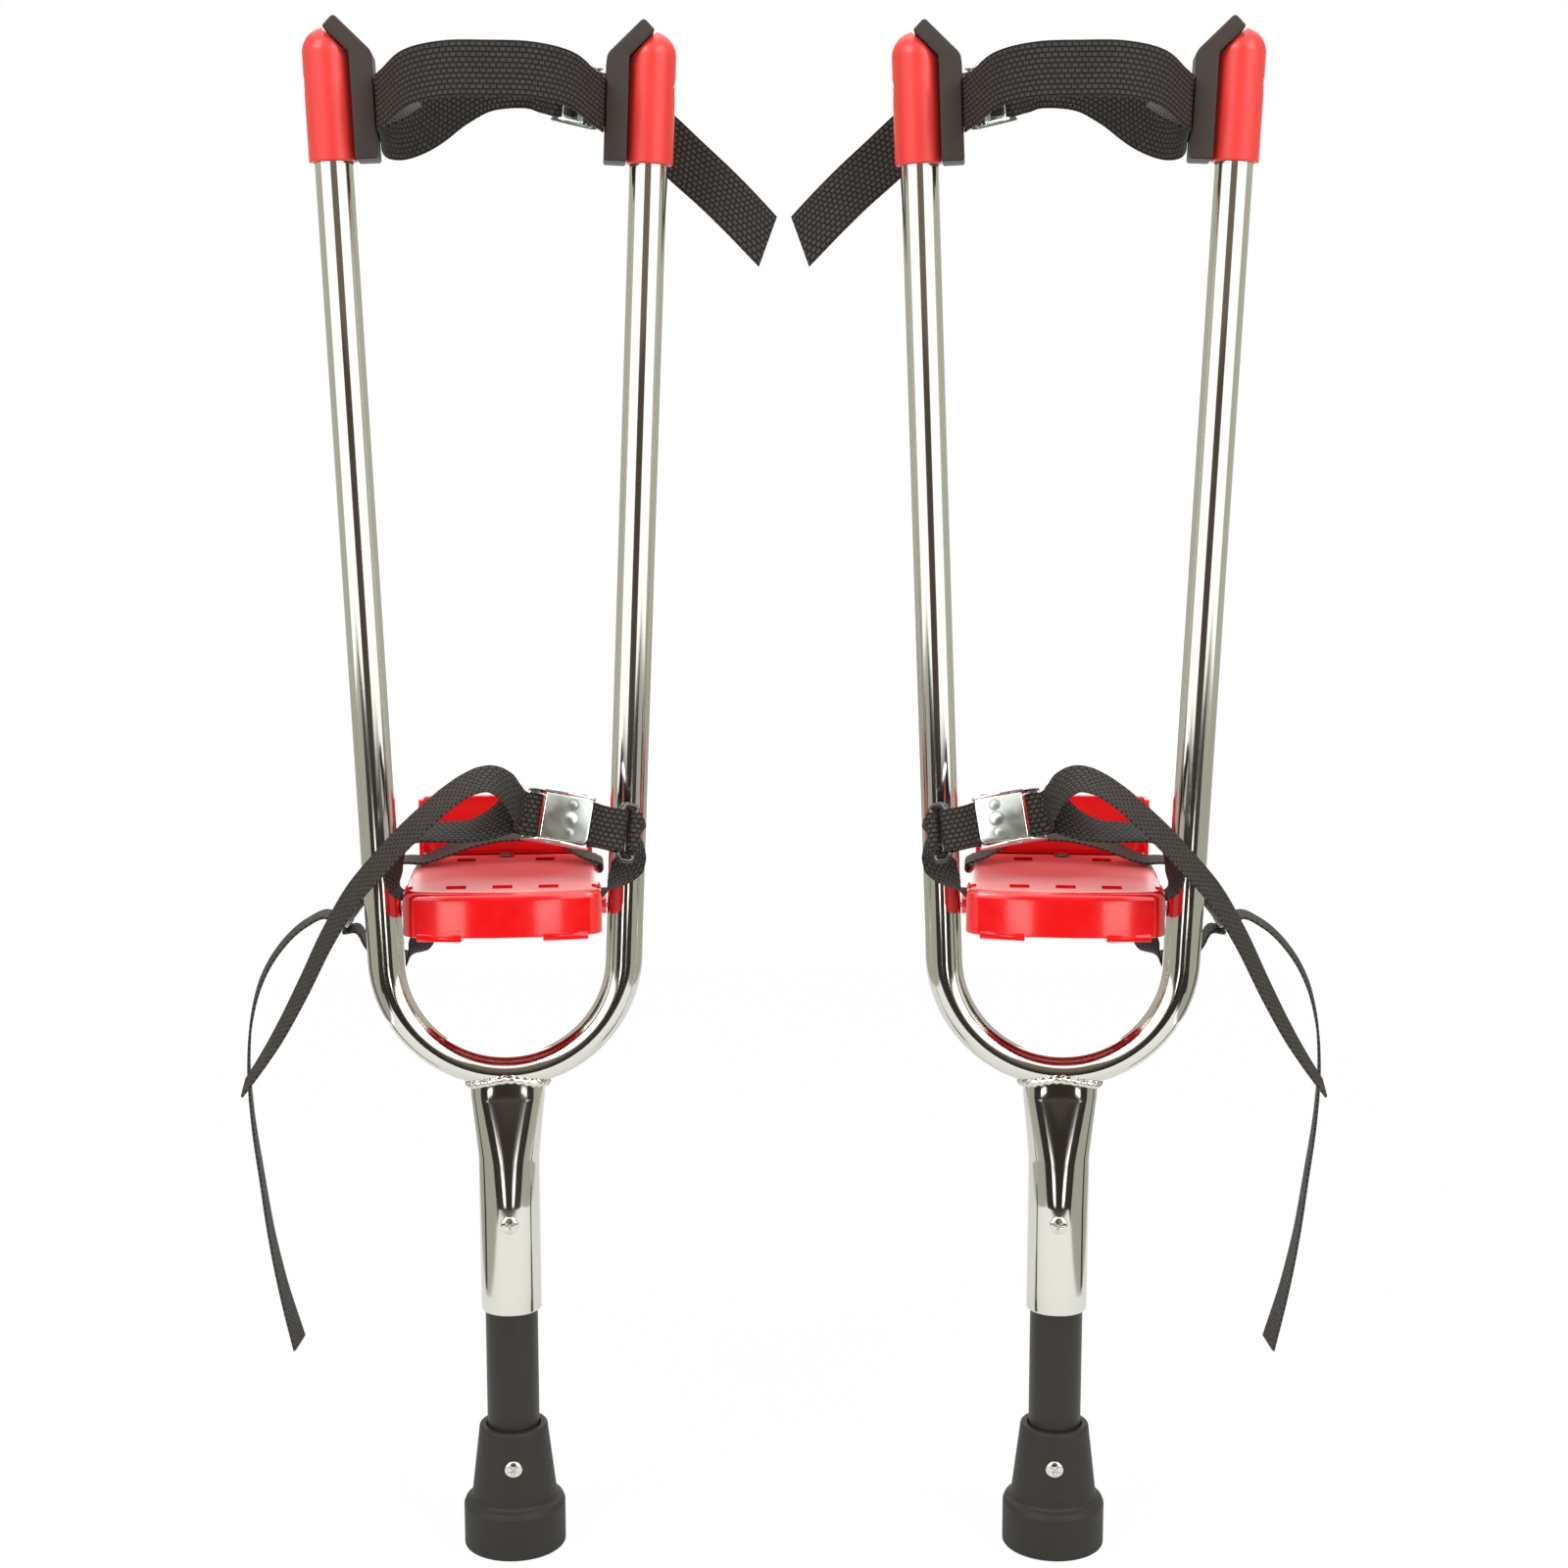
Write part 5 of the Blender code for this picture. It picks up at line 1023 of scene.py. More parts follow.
def knee_route():
    """From the buckle behind the leg, along both pads and round the front, through the buckle to the tail."""
    h, axes = heights(), knee_axes()
    rear = lifted([
        (0.0235, 0.0732, 0.0540, 0.05, -0.1, 1.0), (0.0090, 0.0730, 0.0545, 0.1, -0.1, 1.0),
        (-0.0080, 0.0700, 0.0510, 0.2, -0.1, 1.0), (-0.0220, 0.0660, 0.0425, 0.3, -0.05, 1.0),
        (-0.0340, 0.0600, 0.0320, 0.3, 0.0, 1.0), (-0.0460, 0.0510, 0.0240, 0.15, 0.0, 1.0),
        (-0.0548, 0.0395, 0.0205, 0, 0, 1), (-0.0607, 0.0265, 0.0205, 0, 0, 1)], h.rim)
    half = np.array([(0.0619, -0.0215, 0.0318, 0, 0, 1), (0.0572, -0.0300, 0.0345, 0, 0, 1),
                     (0.0450, -0.0475, 0.0415, 0, 0, 1), (0.0245, -0.0620, 0.0445, 0, 0, 1)])
    centre = [(0.0, -0.0670, 0.0445, 0, 0, 1)]
    front = lifted(np.vstack([half * [-1, 1, 1, 1, 1, 1], centre, half[::-1]]), h.rim)
    tail = lifted([
        (0.0735, 0.0262, 0.0370, 0.1, 0.0, 1.0), (0.0825, 0.0268, 0.0315, 0.2, 0.0, 1.0),
        (0.0940, 0.0300, 0.0220, 0.4, 0.0, 1.0), (0.1120, 0.0320, 0.0060, 0.55, 0.1, 0.9),
        (0.1320, 0.0310, -0.0120, 0.65, 0.2, 0.75), (0.1460, 0.0290, -0.0260, 0.67, 0.25, 0.72),
        (0.1600, 0.0276, -0.0406, 0.68, 0.3, 0.72)], h.rim)
    thick = sizes().web_thickness
    y = np.array([1, 1 / 3, -1 / 3, -1]) * (PAD_DEPTH / 2 + thick)
    inward = sizes().cap_radius - PAD_SINK + PAD_THICKNESS + 2 * WEB_CLEARANCE + thick / 2
    along = {}
    for label, middle, slope in (("outer", 0.0263, -0.28), ("inner", 0.0325, 0.13)):
        place = cap_place(CAP_SIDES[label])
        points = np.stack([0 * y - CAP_SIDES[label] * inward, y, middle + slope * y], axis=1)
        along[label] = np.hstack([moved(place, points), np.repeat(place[None, :3, 2], len(y), axis=0)])
    return np.vstack([rear_bar_turn(axes), rear, along["outer"], front, along["inner"][::-1],
                      front_bar_turn(axes), tail])


def knee_flap_route():
    """The sewn end of the knee web, which stands off the outer pad into the loop."""
    return lifted([
        (-0.0644, -0.0010, 0.0250, 0.0, 0.85, 0.52), (-0.0590, -0.0010, 0.0258, 0.0, 0.87, 0.49),
        (-0.0490, -0.0005, 0.0290, 0.0, 0.91, 0.40), (-0.0400, 0.0, 0.0330, 0.0, 0.95, 0.30)], heights().rim)


def toe_route():
    """From the ring down through the plate, up over the toes, through the buckle and out to the free tail."""
    h, axes, ring = heights(), toe_axes(), ring_axes()
    radius, inside, side = wrap_radius(RING_WIRE), -PLATE_TOP - STRAP_SLOT[1] / 2, RING_SPAN / 2
    turn = arc((side, 0.0), radius, 90, 270, 6)
    start = on_axes(ring, np.vstack([[(side + 0.002, radius)], turn, [(side + 0.0012, -radius)]]))
    down = lifted([
        (0.0768, -0.0400, 0.0225, 0.30, 0.50, 0.82), (0.0748, -0.0392, 0.0150, 0.75, 0.55, 0.35),
        (0.0720, -0.0388, 0.0085, 0.85, 0.52, -0.05), (0.0680, -0.0384, 0.0025, 0.60, 0.75, -0.25),
        (0.0625, TOE_SLOT_Y, -0.0035, 0.25, 0.95, -0.1), (h.plate_half, TOE_SLOT_Y, inside, 0, 1, 0),
        (0.0300, TOE_SLOT_Y, inside, 0, 1, 0), (-0.0300, TOE_SLOT_Y, inside, 0, 1, 0),
        (-h.plate_half, TOE_SLOT_Y, inside, 0, 1, 0)], h.plate)
    over = lifted([
        (-0.0612, -0.0382, -0.0030, 0.1, 1.0, 0.0), (-0.0628, -0.0388, 0.0055, 0.35, 0.92, 0.05),
        (-0.0618, -0.0400, 0.0165, 0.42, 0.88, 0.14), (-0.0575, -0.0415, 0.0258, 0.32, 0.92, 0.22),
        (-0.0480, -0.0435, 0.0310, 0.1, 0.97, 0.26), (-0.0340, -0.0455, 0.0320, 0.0, 0.95, 0.29),
        (-0.0180, -0.0465, 0.0328, 0.0, 0.94, 0.34), (-0.0060, -0.0478, 0.0364, 0.0, 0.82, 0.56)], h.plate)
    tail = lifted([
        (0.0095, -0.0600, 0.0510, -0.02, 0.40, 0.91), (0.0050, -0.0640, 0.0590, -0.08, 0.58, 0.80),
        (-0.0010, -0.0668, 0.0640, -0.12, 0.76, 0.62), (-0.0085, -0.0690, 0.0658, -0.15, 0.87, 0.43),
        (-0.0170, -0.0705, 0.0635, -0.18, 0.91, 0.36), (-0.0265, -0.0718, 0.0580, -0.2, 0.92, 0.33),
        (-0.0400, -0.0737, 0.0470, -0.25, 0.91, 0.32), (-0.0530, -0.0750, 0.0350, -0.28, 0.90, 0.31),
        (-0.0670, -0.0760, 0.0205, -0.3, 0.91, 0.28), (-0.0815, -0.0760, 0.0040, -0.3, 0.92, 0.24),
        (-0.0970, -0.0748, -0.0210, -0.28, 0.94, 0.19), (-0.1130, -0.0730, -0.0530, -0.25, 0.95, 0.16),
        (-0.1270, -0.0702, -0.0790, -0.2, 0.97, 0.13), (-0.1390, -0.0675, -0.0980, -0.12, 0.98, 0.1),
        (-0.1480, -0.0655, -0.1110, -0.08, 0.99, 0.06)], h.plate)
    return np.vstack([start, down, over, front_bar_turn(axes), tail])


def ring_strap_route():
    """A closed loop of webbing from the buckle's rear bar round the near side of the ring."""
    buckle, ring = toe_axes(), ring_axes()
    pinch = sizes().web_thickness / 2 + WEB_CLEARANCE
    near = on_axes(buckle, arc((BUCKLE_REAR, -BUCKLE_DROP), wrap_radius(REAR_BAR), 255, 70, 6))
    far = on_axes(ring, arc((-RING_SPAN / 2, 0.0), wrap_radius(RING_WIRE), 90, -90, 6))
    start = moved(buckle, np.array([BUCKLE_REAR, 0, -BUCKLE_DROP]))
    end = moved(ring, np.array([-RING_SPAN / 2, 0, 0]))
    across = ring[:3, 1]
    facing = unit(np.cross(end - start, across))
    share = np.array([0.38, 0.66])[:, None]
    middle = start + share * (end - start)
    row = np.repeat(across[None], 2, axis=0)
    front, behind = (np.hstack([middle + offset * facing, row]) for offset in (pinch, -pinch))
    return np.vstack([near, front, far, behind[::-1]])


def ankle_route():
    """From the buckle over the plate, round its edge, back through it and out below into the buckle, then
    down the free tail."""
    h, axes, depth = heights(), ankle_axes(), ANKLE_SLOT_Y
    inside = -PLATE_TOP - STRAP_SLOT[1] / 2
    over = lifted([
        (-0.0590, depth, 0.0032, 0, 1, 0), (-0.0500, depth, 0.0030, 0.0, 1.0, 0.02),
        (-0.0420, depth, 0.0054, 0.0, 1.0, 0.08), (-0.0240, depth - 0.001, 0.0130, 0.0, 1.0, 0.16),
        (0.0080, depth - 0.002, 0.0188, 0.0, 1.0, 0.20),
        (0.0340, depth - 0.001, 0.0138, 0.0, 1.0, 0.14), (0.0475, depth, 0.0050, 0.0, 1.0, 0.04)], h.plate)
    back = lifted([
        (0.0300, depth, inside - 0.0005, 0, 1, 0), (0.0, depth, inside - 0.0020, 0, 1, 0),
        (-0.0300, depth, inside - 0.0040, 0, 1, 0), (-0.0420, depth, inside - 0.0100, 0, 1, 0)], h.plate)
    under = lifted([
        (-0.0462, depth, -0.0010, 0.15, 1.0, 0.0), (-0.0485, depth, -0.0130, 0.55, 0.83, 0.05),
        (-0.0535, depth, -0.0245, 0.70, 0.65, 0.28), (-0.0630, depth, -0.0315, 0.45, 0.80, 0.40),
        (-0.0740, depth, -0.0300, 0.15, 0.97, 0.2), (-0.0835, depth, -0.0220, 0, 1, 0),
        (-0.0900, depth, -0.0120, 0, 1, 0)], h.plate_base)
    tail = lifted([
        (-0.1080, depth, -0.0295, 0, 1, 0), (-0.1195, depth, -0.0345, -0.04, 1.0, 0.0),
        (-0.1370, depth, -0.0510, -0.08, 1.0, 0.0), (-0.1475, depth, -0.0690, -0.1, 1.0, 0.0),
        (-0.1540, depth, -0.0910, -0.1, 1.0, 0.0), (-0.1570, depth, -0.1200, -0.1, 1.0, 0.0),
        (-0.1558, depth, -0.1540, -0.09, 1.0, 0.0), (-0.1515, depth, -0.1920, -0.06, 1.0, 0.0),
        (-0.1465, depth, -0.2310, -0.02, 1.0, 0.0), (-0.1400, depth, -0.2660, 0.05, 1.0, 0.0),
        (-0.1318, depth, -0.3000, 0.15, 1.0, 0.05)], h.plate)
    sewn = rear_bar_turn(axes, ANKLE_SEAM_END)
    return np.vstack([sewn, over, edge_turn(depth), back, under, front_bar_turn(axes), tail])


def add_node(tree, kind, inputs=None, **settings):
    """Adds a node. Settings are its attributes, and inputs maps a socket to a value or another's output."""
    node = tree.nodes.new(kind)
    for key, value in settings.items():
        setattr(node, key, value)
    for socket, value in (inputs or {}).items():
        if isinstance(value, bpy.types.NodeSocket):
            tree.links.new(value, node.inputs[socket])
        else:
            node.inputs[socket].default_value = value
    return node


def new_finish(name, tint, **sockets):
    """A material with one Principled shader, its base colour and its other plain values."""
    made = bpy.data.materials.new(name)
    made.use_nodes = True
    shader = made.node_tree.nodes["Principled BSDF"]
    shader.inputs["Base Color"].default_value = (*tint, 1)
    for socket, value in sockets.items():
        shader.inputs[socket.replace("_", " ")].default_value = value
    return made


def grain(made, millimetres, depth, rough, stretch=(1.0, 1.0, 1.0), detail=3.0):
    """Fine unevenness on Object coordinates: a bump of a depth in metres, and roughness in a range."""
    tree = made.node_tree
    shader = tree.nodes["Principled BSDF"]
    place = add_node(tree, "ShaderNodeTexCoord").outputs["Object"]
    place = add_node(tree, "ShaderNodeMapping", {"Vector": place, "Scale": stretch}).outputs["Vector"]
    noise = add_node(tree, "ShaderNodeTexNoise", {
        "Vector": place, "Scale": 1000.0 / millimetres, "Detail": detail}).outputs["Fac"]
    bump = add_node(tree, "ShaderNodeBump", {"Height": noise, "Distance": depth, "Strength": 1.0})
    tree.links.new(bump.outputs["Normal"], shader.inputs["Normal"])
    shade = add_node(tree, "ShaderNodeMapRange", {
        "Value": noise, "From Min": 0.3, "From Max": 0.7, "To Min": rough[0], "To Max": rough[1]})
    tree.links.new(shade.outputs["Result"], shader.inputs["Roughness"])
    return made


def bright_chrome(name, c):
    """Bright electroplate on drawn tube: a mirror with the faint long waves of the polished steel below."""
    made = new_finish(name, c.chrome, Metallic=1.0)
    return grain(made, 30.0, 0.00003, (0.07, 0.11), (1.0, 1.0, 0.25), 1.0)


def weld_chrome(name, c):
    """Plated weld: the same mirror over small sharp ripples."""
    return grain(new_finish(name, c.chrome, Metallic=1.0), 1.6, 0.0002, (0.10, 0.24))


def zinc_plate(name, c):
    """Blue passivated zinc on pressed sheet: cool grey with a soft broken shine."""
    return grain(new_finish(name, c.zinc, Metallic=1.0), 7.0, 0.00002, (0.16, 0.24), detail=1.0)


def black_lacquer(name, c):
    """Black-lacquered wire and screws: dark, with a hard clear shine."""
    made = new_finish(name, c.wire, Coat_Weight=0.6, Coat_Roughness=0.08)
    return grain(made, 1.5, 0.00002, (0.16, 0.28))


def satin_black_paint(name, c):
    """Satin paint on steel tube: soft broad shine along its length."""
    return grain(new_finish(name, c.paint, Specular_IOR_Level=0.35), 0.9, 0.00002, (0.38, 0.50))


def foot_rubber(name, c):
    """Moulded rubber, slightly bloomed: matt and warm dark grey, with an uneven skin."""
    return grain(new_finish(name, c.rubber, Specular_IOR_Level=0.3), 1.4, 0.00008, (0.50, 0.66))


def pad_rubber(name, c):
    """Extruded pad rubber: matt, with a fine skin."""
    return grain(new_finish(name, c.pad, Specular_IOR_Level=0.3), 1.2, 0.00004, (0.52, 0.66))


def red_plastic(name, c):
    """Injection-moulded plastic from a polished mould: deep red under a clear gloss with a faint ripple."""
    made = new_finish(name, c.red, Coat_Weight=1.0, Coat_Roughness=0.10, Coat_IOR=1.6)
    return grain(made, 7.0, 0.00004, (0.13, 0.22), detail=1.0)


def red_vinyl(name, c):
    """Dip-moulded vinyl of the caps: a lighter red with a soft, grainy shine."""
    return grain(new_finish(name, c.vinyl), 1.5, 0.00005, (0.30, 0.44))


def red_tread(name, c):
    """The footplate's plastic where shoes rub: fine sideways scratches haze the gloss."""
    made = new_finish(name, c.red, Coat_Weight=1.0, Coat_Roughness=0.30, Coat_IOR=1.6, Sheen_Weight=0.35,
                      Sheen_Roughness=0.5)
    return grain(made, 2.0, 0.00006, (0.28, 0.44), (0.06, 1.0, 1.0))


def woven_webbing(name, c):
    """Woven polypropylene webbing: short raised yarns in staggered rows, their colour lightened in part as a
    painted highlight, with a near-black painted shade laid into the gaps between them. The real yarns repeat
    every 2 mm, which is too fine to show, so they are drawn coarser."""
    s = sizes()
    made = new_finish(name, c.web, Specular_IOR_Level=0.25, Roughness=0.62)
    tree = made.node_tree
    shader = tree.nodes["Principled BSDF"]
    darker = [WEAVE_SHADE * v for v in c.web]
    place = add_node(tree, "ShaderNodeUVMap", uv_map="web").outputs["UV"]
    # Painted shade and highlight: near-black gaps stand in for the shade between the yarns, and the lighter
    # yarns in part for their shine
    weave = add_node(tree, "ShaderNodeTexBrick", {
        "Vector": place, "Scale": WEAVE_SCALE, "Color1": (*c.web, 1), "Color2": (*darker, 1),
        "Mortar": (*c.web_gap_shade, 1), "Mortar Size": WEAVE_GAP * WEAVE_SCALE, "Mortar Smooth": 1.0,
        "Brick Width": s.weave_rib * WEAVE_SCALE, "Row Height": s.weave_row * WEAVE_SCALE}, offset=0.5)
    tree.links.new(weave.outputs["Color"], shader.inputs["Base Color"])
    bump = add_node(tree, "ShaderNodeBump", {
        "Height": weave.outputs["Fac"], "Distance": WEAVE_DEPTH, "Strength": 1.0}, invert=True)
    tree.links.new(bump.outputs["Normal"], shader.inputs["Normal"])
    return made


FINISHES = {maker.__name__: maker for maker in (
    bright_chrome, weld_chrome, zinc_plate, black_lacquer, satin_black_paint, foot_rubber, pad_rubber,
    red_plastic, red_vinyl, red_tread, woven_webbing)}


def finish(name):
    """The named material, made on first use. Slots name the solids' own materials, so no finish has a slot's
    name."""
    if name in bpy.data.materials:
        return bpy.data.materials[name]
    return FINISHES[name](name, bpy.context.scene.peg_stilt_colours)


class STILTS_OT_straps(bpy.types.Operator):
    """Weave the knee, toe and ankle straps and the short strap of the ring"""

    bl_idname = "stilts.straps"
    bl_label = "Straps"

    def execute(self, context):
        s = sizes()
        pads = ("knee_pad_outer", "knee_pad_inner")
        work = (("knee_strap", knee_route, s.knee_web, (*pads, "knee_buckle_frame")),
                ("toe_strap", toe_route, s.foot_web, ("footplate", "toe_ring", "toe_buckle_frame")),
                ("toe_ring_strap", ring_strap_route, s.foot_web, ("toe_ring", "toe_buckle_frame")),
                ("ankle_strap", ankle_route, s.foot_web, ("footplate", "ankle_buckle_frame")))
        for piece, route, width, carriers in work:
            knee, closed = piece == "knee_strap", piece == "toe_ring_strap"
            shell, total = webbing(route(), width, closed, WEB_CUT_DEG if knee else 0.0)
            if knee:
                shell.join(webbing(knee_flap_route(), width)[0])
            for side, strap in zip(SIDES, add_pair(piece, shell, "woven_webbing")):
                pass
        return {"FINISHED"}


class STILTS_OT_tubes(bpy.types.Operator):
    """Bend the chromed tubes, squash the stems and lay the welds"""

    bl_idname = "stilts.tubes"
    bl_label = "Chromed tubes"

    def execute(self, context):
        add_pair("u_frame", Shell().add(bent_tube(), caps=True), "bright_chrome")
        add_pair("stem_tube", Shell().add(stem_tube(), wrap=True), "bright_chrome")
        bead = Shell().add(weld_bead(), wrap=True)
        add_pair("weld_bead", bead, "weld_chrome", sharp_deg=60)
        return {"FINISHED"}


class STILTS_OT_pegs(bpy.types.Operator):
    """Turn the black pegs and their rubber feet"""

    bl_idname = "stilts.pegs"
    bl_label = "Pegs and feet"

    def execute(self, context):
        peg, foot = Shell().add(peg_tube(), wrap=True), Shell().add(rubber_foot(), wrap=True)
        add_pair("peg_tube", peg, "satin_black_paint", "pegs")
        add_pair("rubber_foot", foot, "foot_rubber", "pegs")
        return {"FINISHED"}


class STILTS_OT_screws(bpy.types.Operator):
    """Set the cross-recess screws"""

    bl_idname = "stilts.screws"
    bl_label = "Screws"

    def execute(self, context):
        h = heights()
        facing = ((1, 0, 0), (0, 0, 1))
        foot, stem = foot_radius(FOOT_SCREW_HEIGHT) - FIT_GAP, h.stem + FIT_GAP
        head = pan_head(PAN_SCREW, foot - h.peg + PAN_SCREW_BITE, CROSS_TURN_DEG["foot"])
        screw = Shell().add(head, caps=True, place=axes_at((0, -foot, FOOT_SCREW_HEIGHT), *facing))
        add_pair("foot_screw", screw, "bright_chrome", "pegs")
        head = pan_head(PAN_SCREW, stem - h.peg - FIT_GAP, CROSS_TURN_DEG["stem"])
        place = axes_at((0, -stem, h.stem_bottom + STEM_SCREW_HEIGHT), *facing)
        add_pair("stem_screw", Shell().add(head, caps=True, place=place), "bright_chrome")
        head = pan_head(HEEL_SCREW, HEEL_SCREW_GRIP, CROSS_TURN_DEG["heel"])
        place = shift(y=HEEL_OUTSIDE - TONGUE_REACH[0] * HEEL_SCREW_PLACE, z=h.plate + FIT_GAP)
        add_pair("heel_screw", Shell().add(head, caps=True, place=place), "black_lacquer")
        seat = sizes().cap_radius - CAP_SCREW_SINK
        head = pan_head(CAP_SCREW, seat - h.tube + CAP_SCREW_BITE, CROSS_TURN_DEG["cap"])
        for label, sign in CAP_SIDES.items():
            place = cap_place(sign) @ axes_at((sign * seat, 0, CAP_SCREW_HEIGHT), (0, 1, 0), (0, 0, sign))
            screw = Shell().add(head, caps=True, place=place)
            add_pair(f"cap_screw_{label}", screw, "zinc_plate")
        return {"FINISHED"}


def cut_slots(context, plate, slots):
    """Cuts the slots' mesh out of a footplate for good, and gives the plate's level faces the worn finish."""
    cutter = bpy.data.objects.new("slots", slots)
    context.scene.collection.objects.link(cutter)
    cut = plate.modifiers.new("slots", "BOOLEAN")
    cut.operation, cut.solver, cut.object = "DIFFERENCE", "EXACT", cutter
    mesh = bpy.data.meshes.new_from_object(plate.evaluated_get(context.evaluated_depsgraph_get()))
    plate.modifiers.clear()
    plate.data = mesh
    bpy.data.objects.remove(cutter, do_unlink=True)
    smooth(mesh, 40)
    mesh.materials.append(finish("red_tread"))
    facing = np.empty(3 * len(mesh.polygons), dtype=np.float32)
    mesh.polygons.foreach_get("normal", facing)
    mesh.polygons.foreach_set("material_index", (facing[2::3] > TREAD_LEVEL).astype(np.int32))


class STILTS_OT_footplates(bpy.types.Operator):
    """Mould the red footplates and heel cups"""

    bl_idname = "stilts.footplates"
    bl_label = "Footplates and heel cups"

    def execute(self, context):
        slots = tray_slots()
        plates = add_pair("footplate", Shell().add(tray(), caps=True), "red_plastic")
        for mirror, plate in zip(SIDES.values(), plates):
            cut_slots(context, plate, slots.mesh("slots", stilt_place(mirror)))
        add_pair("footplate_fittings", plate_fittings(), "red_plastic", instead=False)
        add_pair("heel_cup", heel_cup(), "red_plastic")
        return {"FINISHED"}


class STILTS_OT_caps(bpy.types.Operator):
    """Mould the red caps and their rubber knee pads"""

    bl_idname = "stilts.caps"
    bl_label = "Caps and knee pads"

    def execute(self, context):
        for label, sign in CAP_SIDES.items():
            add_pair(f"cap_{label}", red_cap(sign), "red_vinyl")
            add_pair(f"knee_pad_{label}", knee_pad(sign), "pad_rubber")
        return {"FINISHED"}


class STILTS_OT_buckles(bpy.types.Operator):
    """Press the cam buckles and bend the wire rings"""

    bl_idname = "stilts.buckles"
    bl_label = "Buckles and rings"

    def execute(self, context):
        s = sizes()
        work = (("knee", knee_axes(), s.knee_web), ("toe", toe_axes(), s.foot_web),
                ("ankle", ankle_axes(), s.foot_web))
        for label, axes, web in work:
            lever = f"{label}_buckle_lever"
            add_pair(f"{label}_buckle_frame", buckle_frame(axes, web), "zinc_plate")
            add_pair(lever, buckle_lever(axes, web), "zinc_plate", f"{lever}_body")
        add_pair("toe_ring", wire_ring(ring_axes(), s.foot_web), "black_lacquer")
        return {"FINISHED"}


def panel(name, corners, material):
    """A flat four-cornered stage panel."""
    mesh = bpy.data.meshes.new(name)
    mesh.from_pydata([tuple(corner) for corner in corners], [], [(0, 1, 2, 3)])
    mesh.materials.append(material)
    thing = bpy.data.objects.new(name, mesh)
    bpy.context.scene.collection.objects.link(thing)
    return thing


def empty_tree(owner):
    """The emptied node tree of a material or world."""
    owner.use_nodes = True
    owner.node_tree.nodes.clear()
    return owner.node_tree


def mirrored_card(name, start, end, low, high, tint, strength=1.0):
    """An upright glowing card between two plan points, which only reflections show."""
    made = bpy.data.materials.new(name)
    tree = empty_tree(made)
    light = add_node(tree, "ShaderNodeEmission", {"Color": (*tint, 1), "Strength": strength})
    add_node(tree, "ShaderNodeOutputMaterial", {"Surface": light.outputs["Emission"]})
    card = panel(name, [(*start, low), (*end, low), (*end, high), (*start, high)], made)
    card.visible_camera = card.visible_diffuse = card.visible_shadow = False


def white_floor(tint):
    """Paper floor: matt, but almost plain white to the camera."""
    paper = bpy.data.materials.new("white_paper")
    tree = empty_tree(paper)
    ray = add_node(tree, "ShaderNodeLightPath").outputs
    sees = add_node(tree, "ShaderNodeMath", {0: ray["Is Camera Ray"], 1: FLOOR_WHITE}, operation="MULTIPLY")
    matt = add_node(tree, "ShaderNodeBsdfDiffuse", {"Color": (*tint, 1)})
    white = add_node(tree, "ShaderNodeEmission", {"Color": (1, 1, 1, 1), "Strength": 1.0})
    both = add_node(tree, "ShaderNodeMixShader", {
        0: sees.outputs[0], 1: matt.outputs[0], 2: white.outputs[0]})
    add_node(tree, "ShaderNodeOutputMaterial", {"Surface": both.outputs[0]})
    panel("floor", [(x, y, 0) for x, y in rectangle(-FLOOR_HALF, FLOOR_HALF, *FLOOR_Y)], paper)


def studio_world(scene):
    """White surroundings: dimmer as light on the pieces, plain to the camera and brighter in reflections."""
    scene.world = bpy.data.worlds.new("studio")
    tree = empty_tree(scene.world)
    ray = add_node(tree, "ShaderNodeLightPath").outputs
    seen = ray["Is Camera Ray"]
    for kind in ("Is Glossy Ray", "Is Transmission Ray"):
        seen = add_node(tree, "ShaderNodeMath", {0: seen, 1: ray[kind]}, operation="MAXIMUM").outputs[0]
    level = add_node(tree, "ShaderNodeMapRange", {"Value": seen, "To Min": WORLD_LIGHT, "To Max": 1.0})
    level = add_node(tree, "ShaderNodeMath", {
        0: ray["Is Glossy Ray"], 1: WORLD_MIRRORED, 2: level.outputs[0]}, operation="MULTIPLY_ADD")
    back = add_node(tree, "ShaderNodeBackground", {"Color": (1, 1, 1, 1), "Strength": level.outputs[0]})
    add_node(tree, "ShaderNodeOutputWorld", {"Surface": back.outputs[0]})


def mirrored_room():
    """The room that the chrome mirrors: a dark middle behind the camera, darker towards the floor and darkest
    below it, pale walls at the sides, and two soft boxes, which show in the footplates' glossy fronts."""
    below, floor, desk, top = ROOM_LEVELS
    near, far = ROOM_SIDE_Y
    for name, half, low, high, code in (("room_middle", ROOM_MIDDLE, desk, top, "7E746A"),
                                        ("room_desk", ROOM_MIDDLE, floor, desk, "574E47"),
                                        ("room_low", ROOM_HALF, below, floor, "37322F")):
        mirrored_card(name, (-half, ROOM_WALL_Y), (half, ROOM_WALL_Y), low, high, linear(code))
    for label, side in (("left", -1), ("right", 1)):
        x = side * ROOM_SIDE
        mirrored_card(f"room_{label}", (x, near), (x, far), floor, ROOM_SIDE_TOP, linear("C8C6BC"))
        corner = (side * ROOM_HALF, ROOM_WALL_Y)
        mirrored_card(f"room_{label}_low", corner, (x, far), below, floor, linear("BCBAB0"))
        start, end = ((side * across, SOFTBOX_Y) for across in SOFTBOX_X)
        mirrored_card(f"softbox_{label}", start, end, *SOFTBOX_Z, SOFTBOX_TINT, SOFTBOX_STRENGTH)


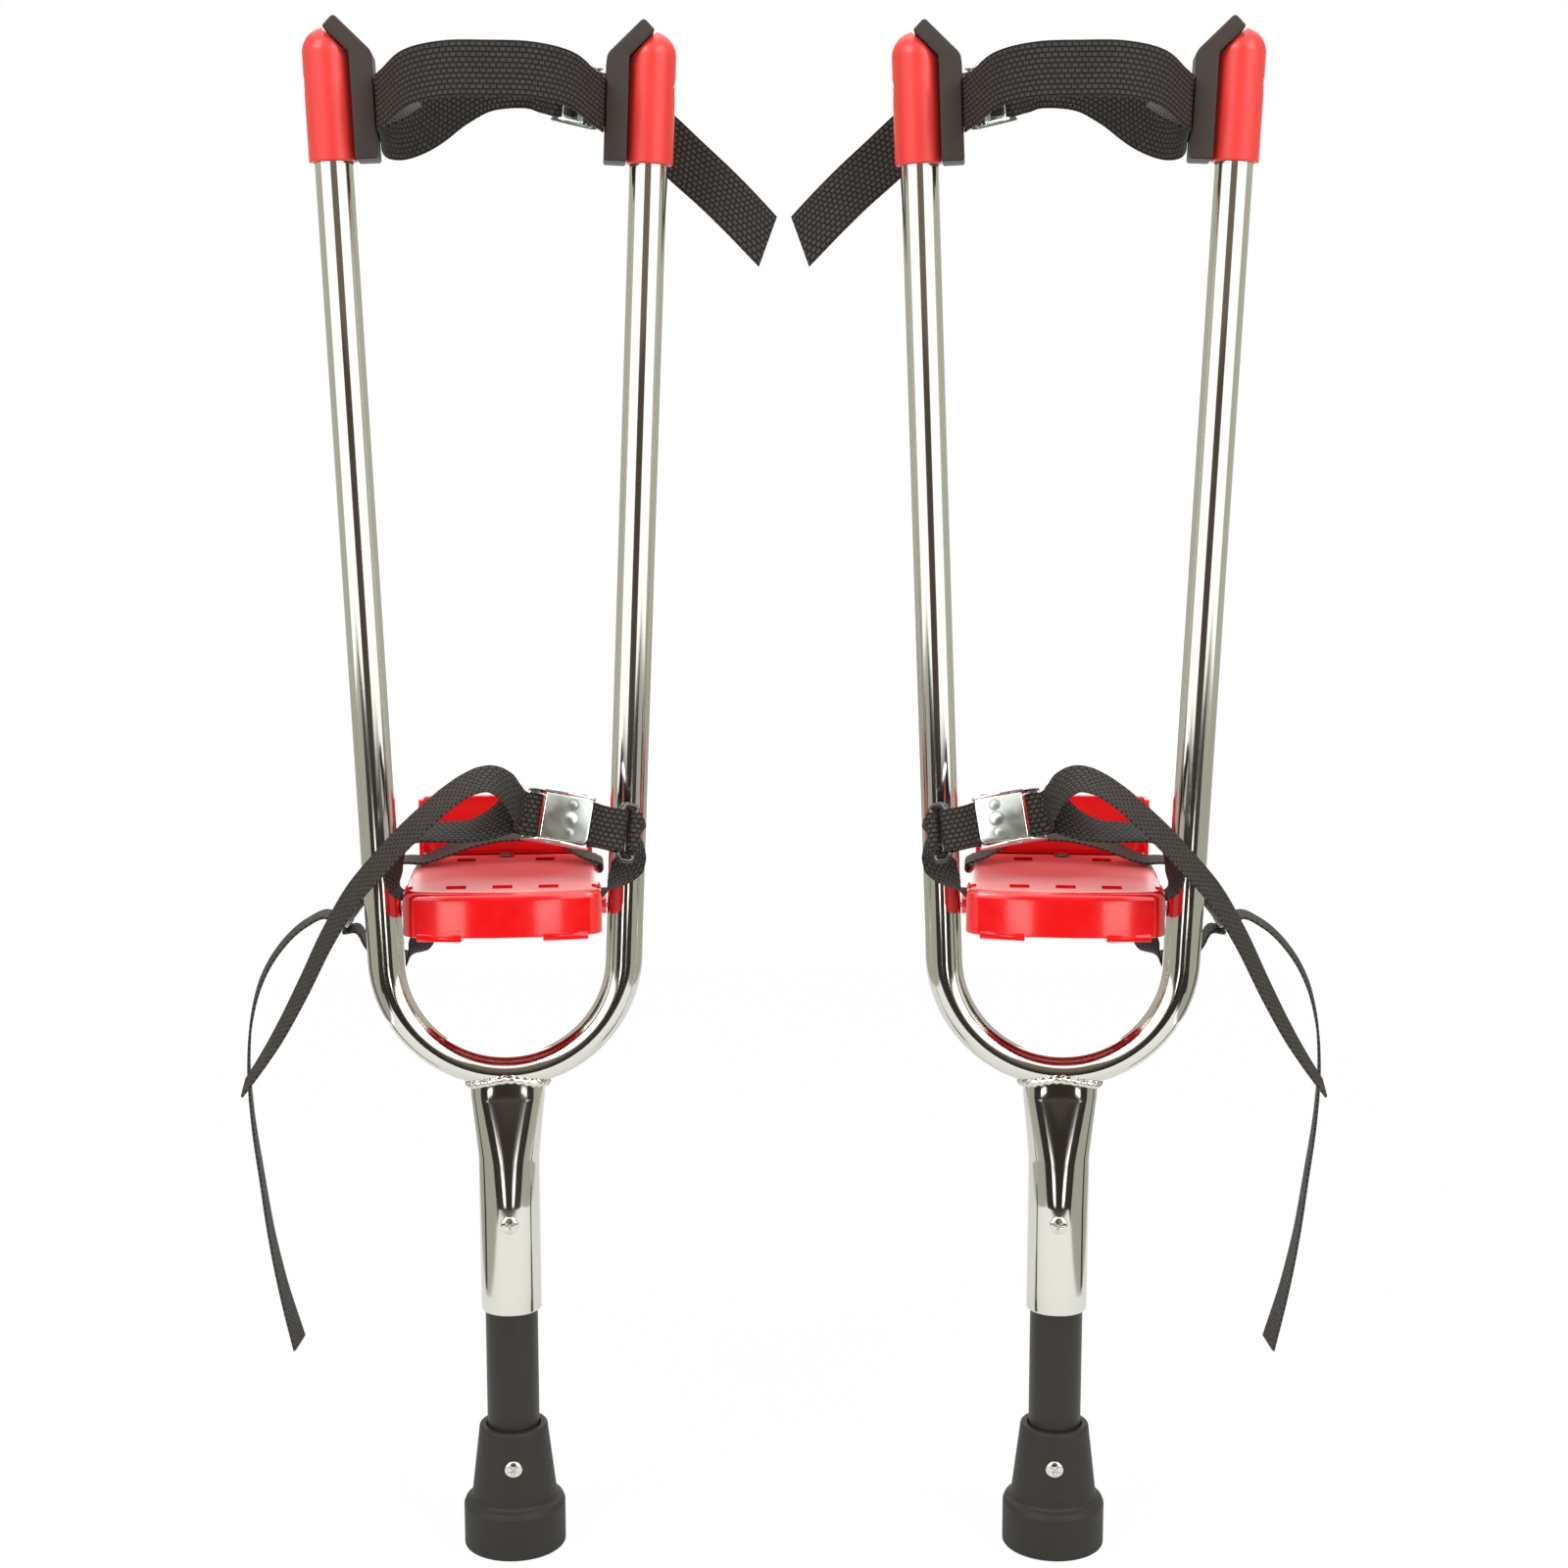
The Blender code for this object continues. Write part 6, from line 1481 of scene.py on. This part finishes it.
class STILTS_OT_stage(bpy.types.Operator):
    """Set the floor, the light and the camera"""

    bl_idname = "stilts.stage"
    bl_label = "Stage"

    def execute(self, context):
        scene = context.scene
        scene.view_settings.view_transform = "Standard"
        white_floor(scene.peg_stilt_colours.floor)
        studio_world(scene)
        mirrored_room()
        for name, place, size, power in LAMPS:
            lamp = bpy.data.lights.new(name, "AREA")
            lamp.size, lamp.energy = size, power
            thing = bpy.data.objects.new(name, lamp)
            thing.location = place
            aim = np.subtract(LAMP_AIM, place)
            tilt = math.acos(-aim[2] / np.linalg.norm(aim))
            thing.rotation_euler = (tilt, 0, math.atan2(aim[1], aim[0]) - math.pi / 2)
            scene.collection.objects.link(thing)
        lens = bpy.data.cameras.new("photo_view")
        lens.lens, lens.sensor_width = CAMERA_LENS, 36.0
        camera = bpy.data.objects.new("photo_view", lens)
        camera.location = CAMERA_PLACE
        camera.rotation_euler = (math.radians(90 - CAMERA_DOWN_DEG), 0, 0)
        scene.collection.objects.link(camera)
        scene.camera = camera
        return {"FINISHED"}


class STILTS_PT_panel(bpy.types.Panel):
    """Sidebar panel with the sizes, the colours and the building steps"""

    bl_idname = "STILTS_PT_panel"
    bl_label = "Peg stilts"
    bl_space_type = "VIEW_3D"
    bl_region_type = "UI"
    bl_category = "Stilts"

    def draw(self, context):
        for group in (context.scene.peg_stilt_sizes, context.scene.peg_stilt_colours):
            box = self.layout.box()
            for key in group.__annotations__:
                box.prop(group, key)
        for step in STEPS:
            self.layout.operator(step.bl_idname)


STEPS = (STILTS_OT_straps, STILTS_OT_tubes, STILTS_OT_pegs, STILTS_OT_screws, STILTS_OT_footplates,
         STILTS_OT_caps, STILTS_OT_buckles, STILTS_OT_stage)
CLASSES = (StiltSizes, StiltColours, *STEPS, STILTS_PT_panel)


def register():
    """Adds the classes and the scene's sizes and colours."""
    for item in CLASSES:
        bpy.utils.register_class(item)
    bpy.types.Scene.peg_stilt_sizes = bpy.props.PointerProperty(type=StiltSizes)
    bpy.types.Scene.peg_stilt_colours = bpy.props.PointerProperty(type=StiltColours)


def unregister():
    """Takes away what register added."""
    del bpy.types.Scene.peg_stilt_colours
    del bpy.types.Scene.peg_stilt_sizes
    for item in reversed(CLASSES):
        bpy.utils.unregister_class(item)


def main():
    """Builds everything in order."""
    register()
    for step in STEPS:
        group, call = step.bl_idname.split(".")
        getattr(getattr(bpy.ops, group), call)()


if __name__ == "__main__":
    main()
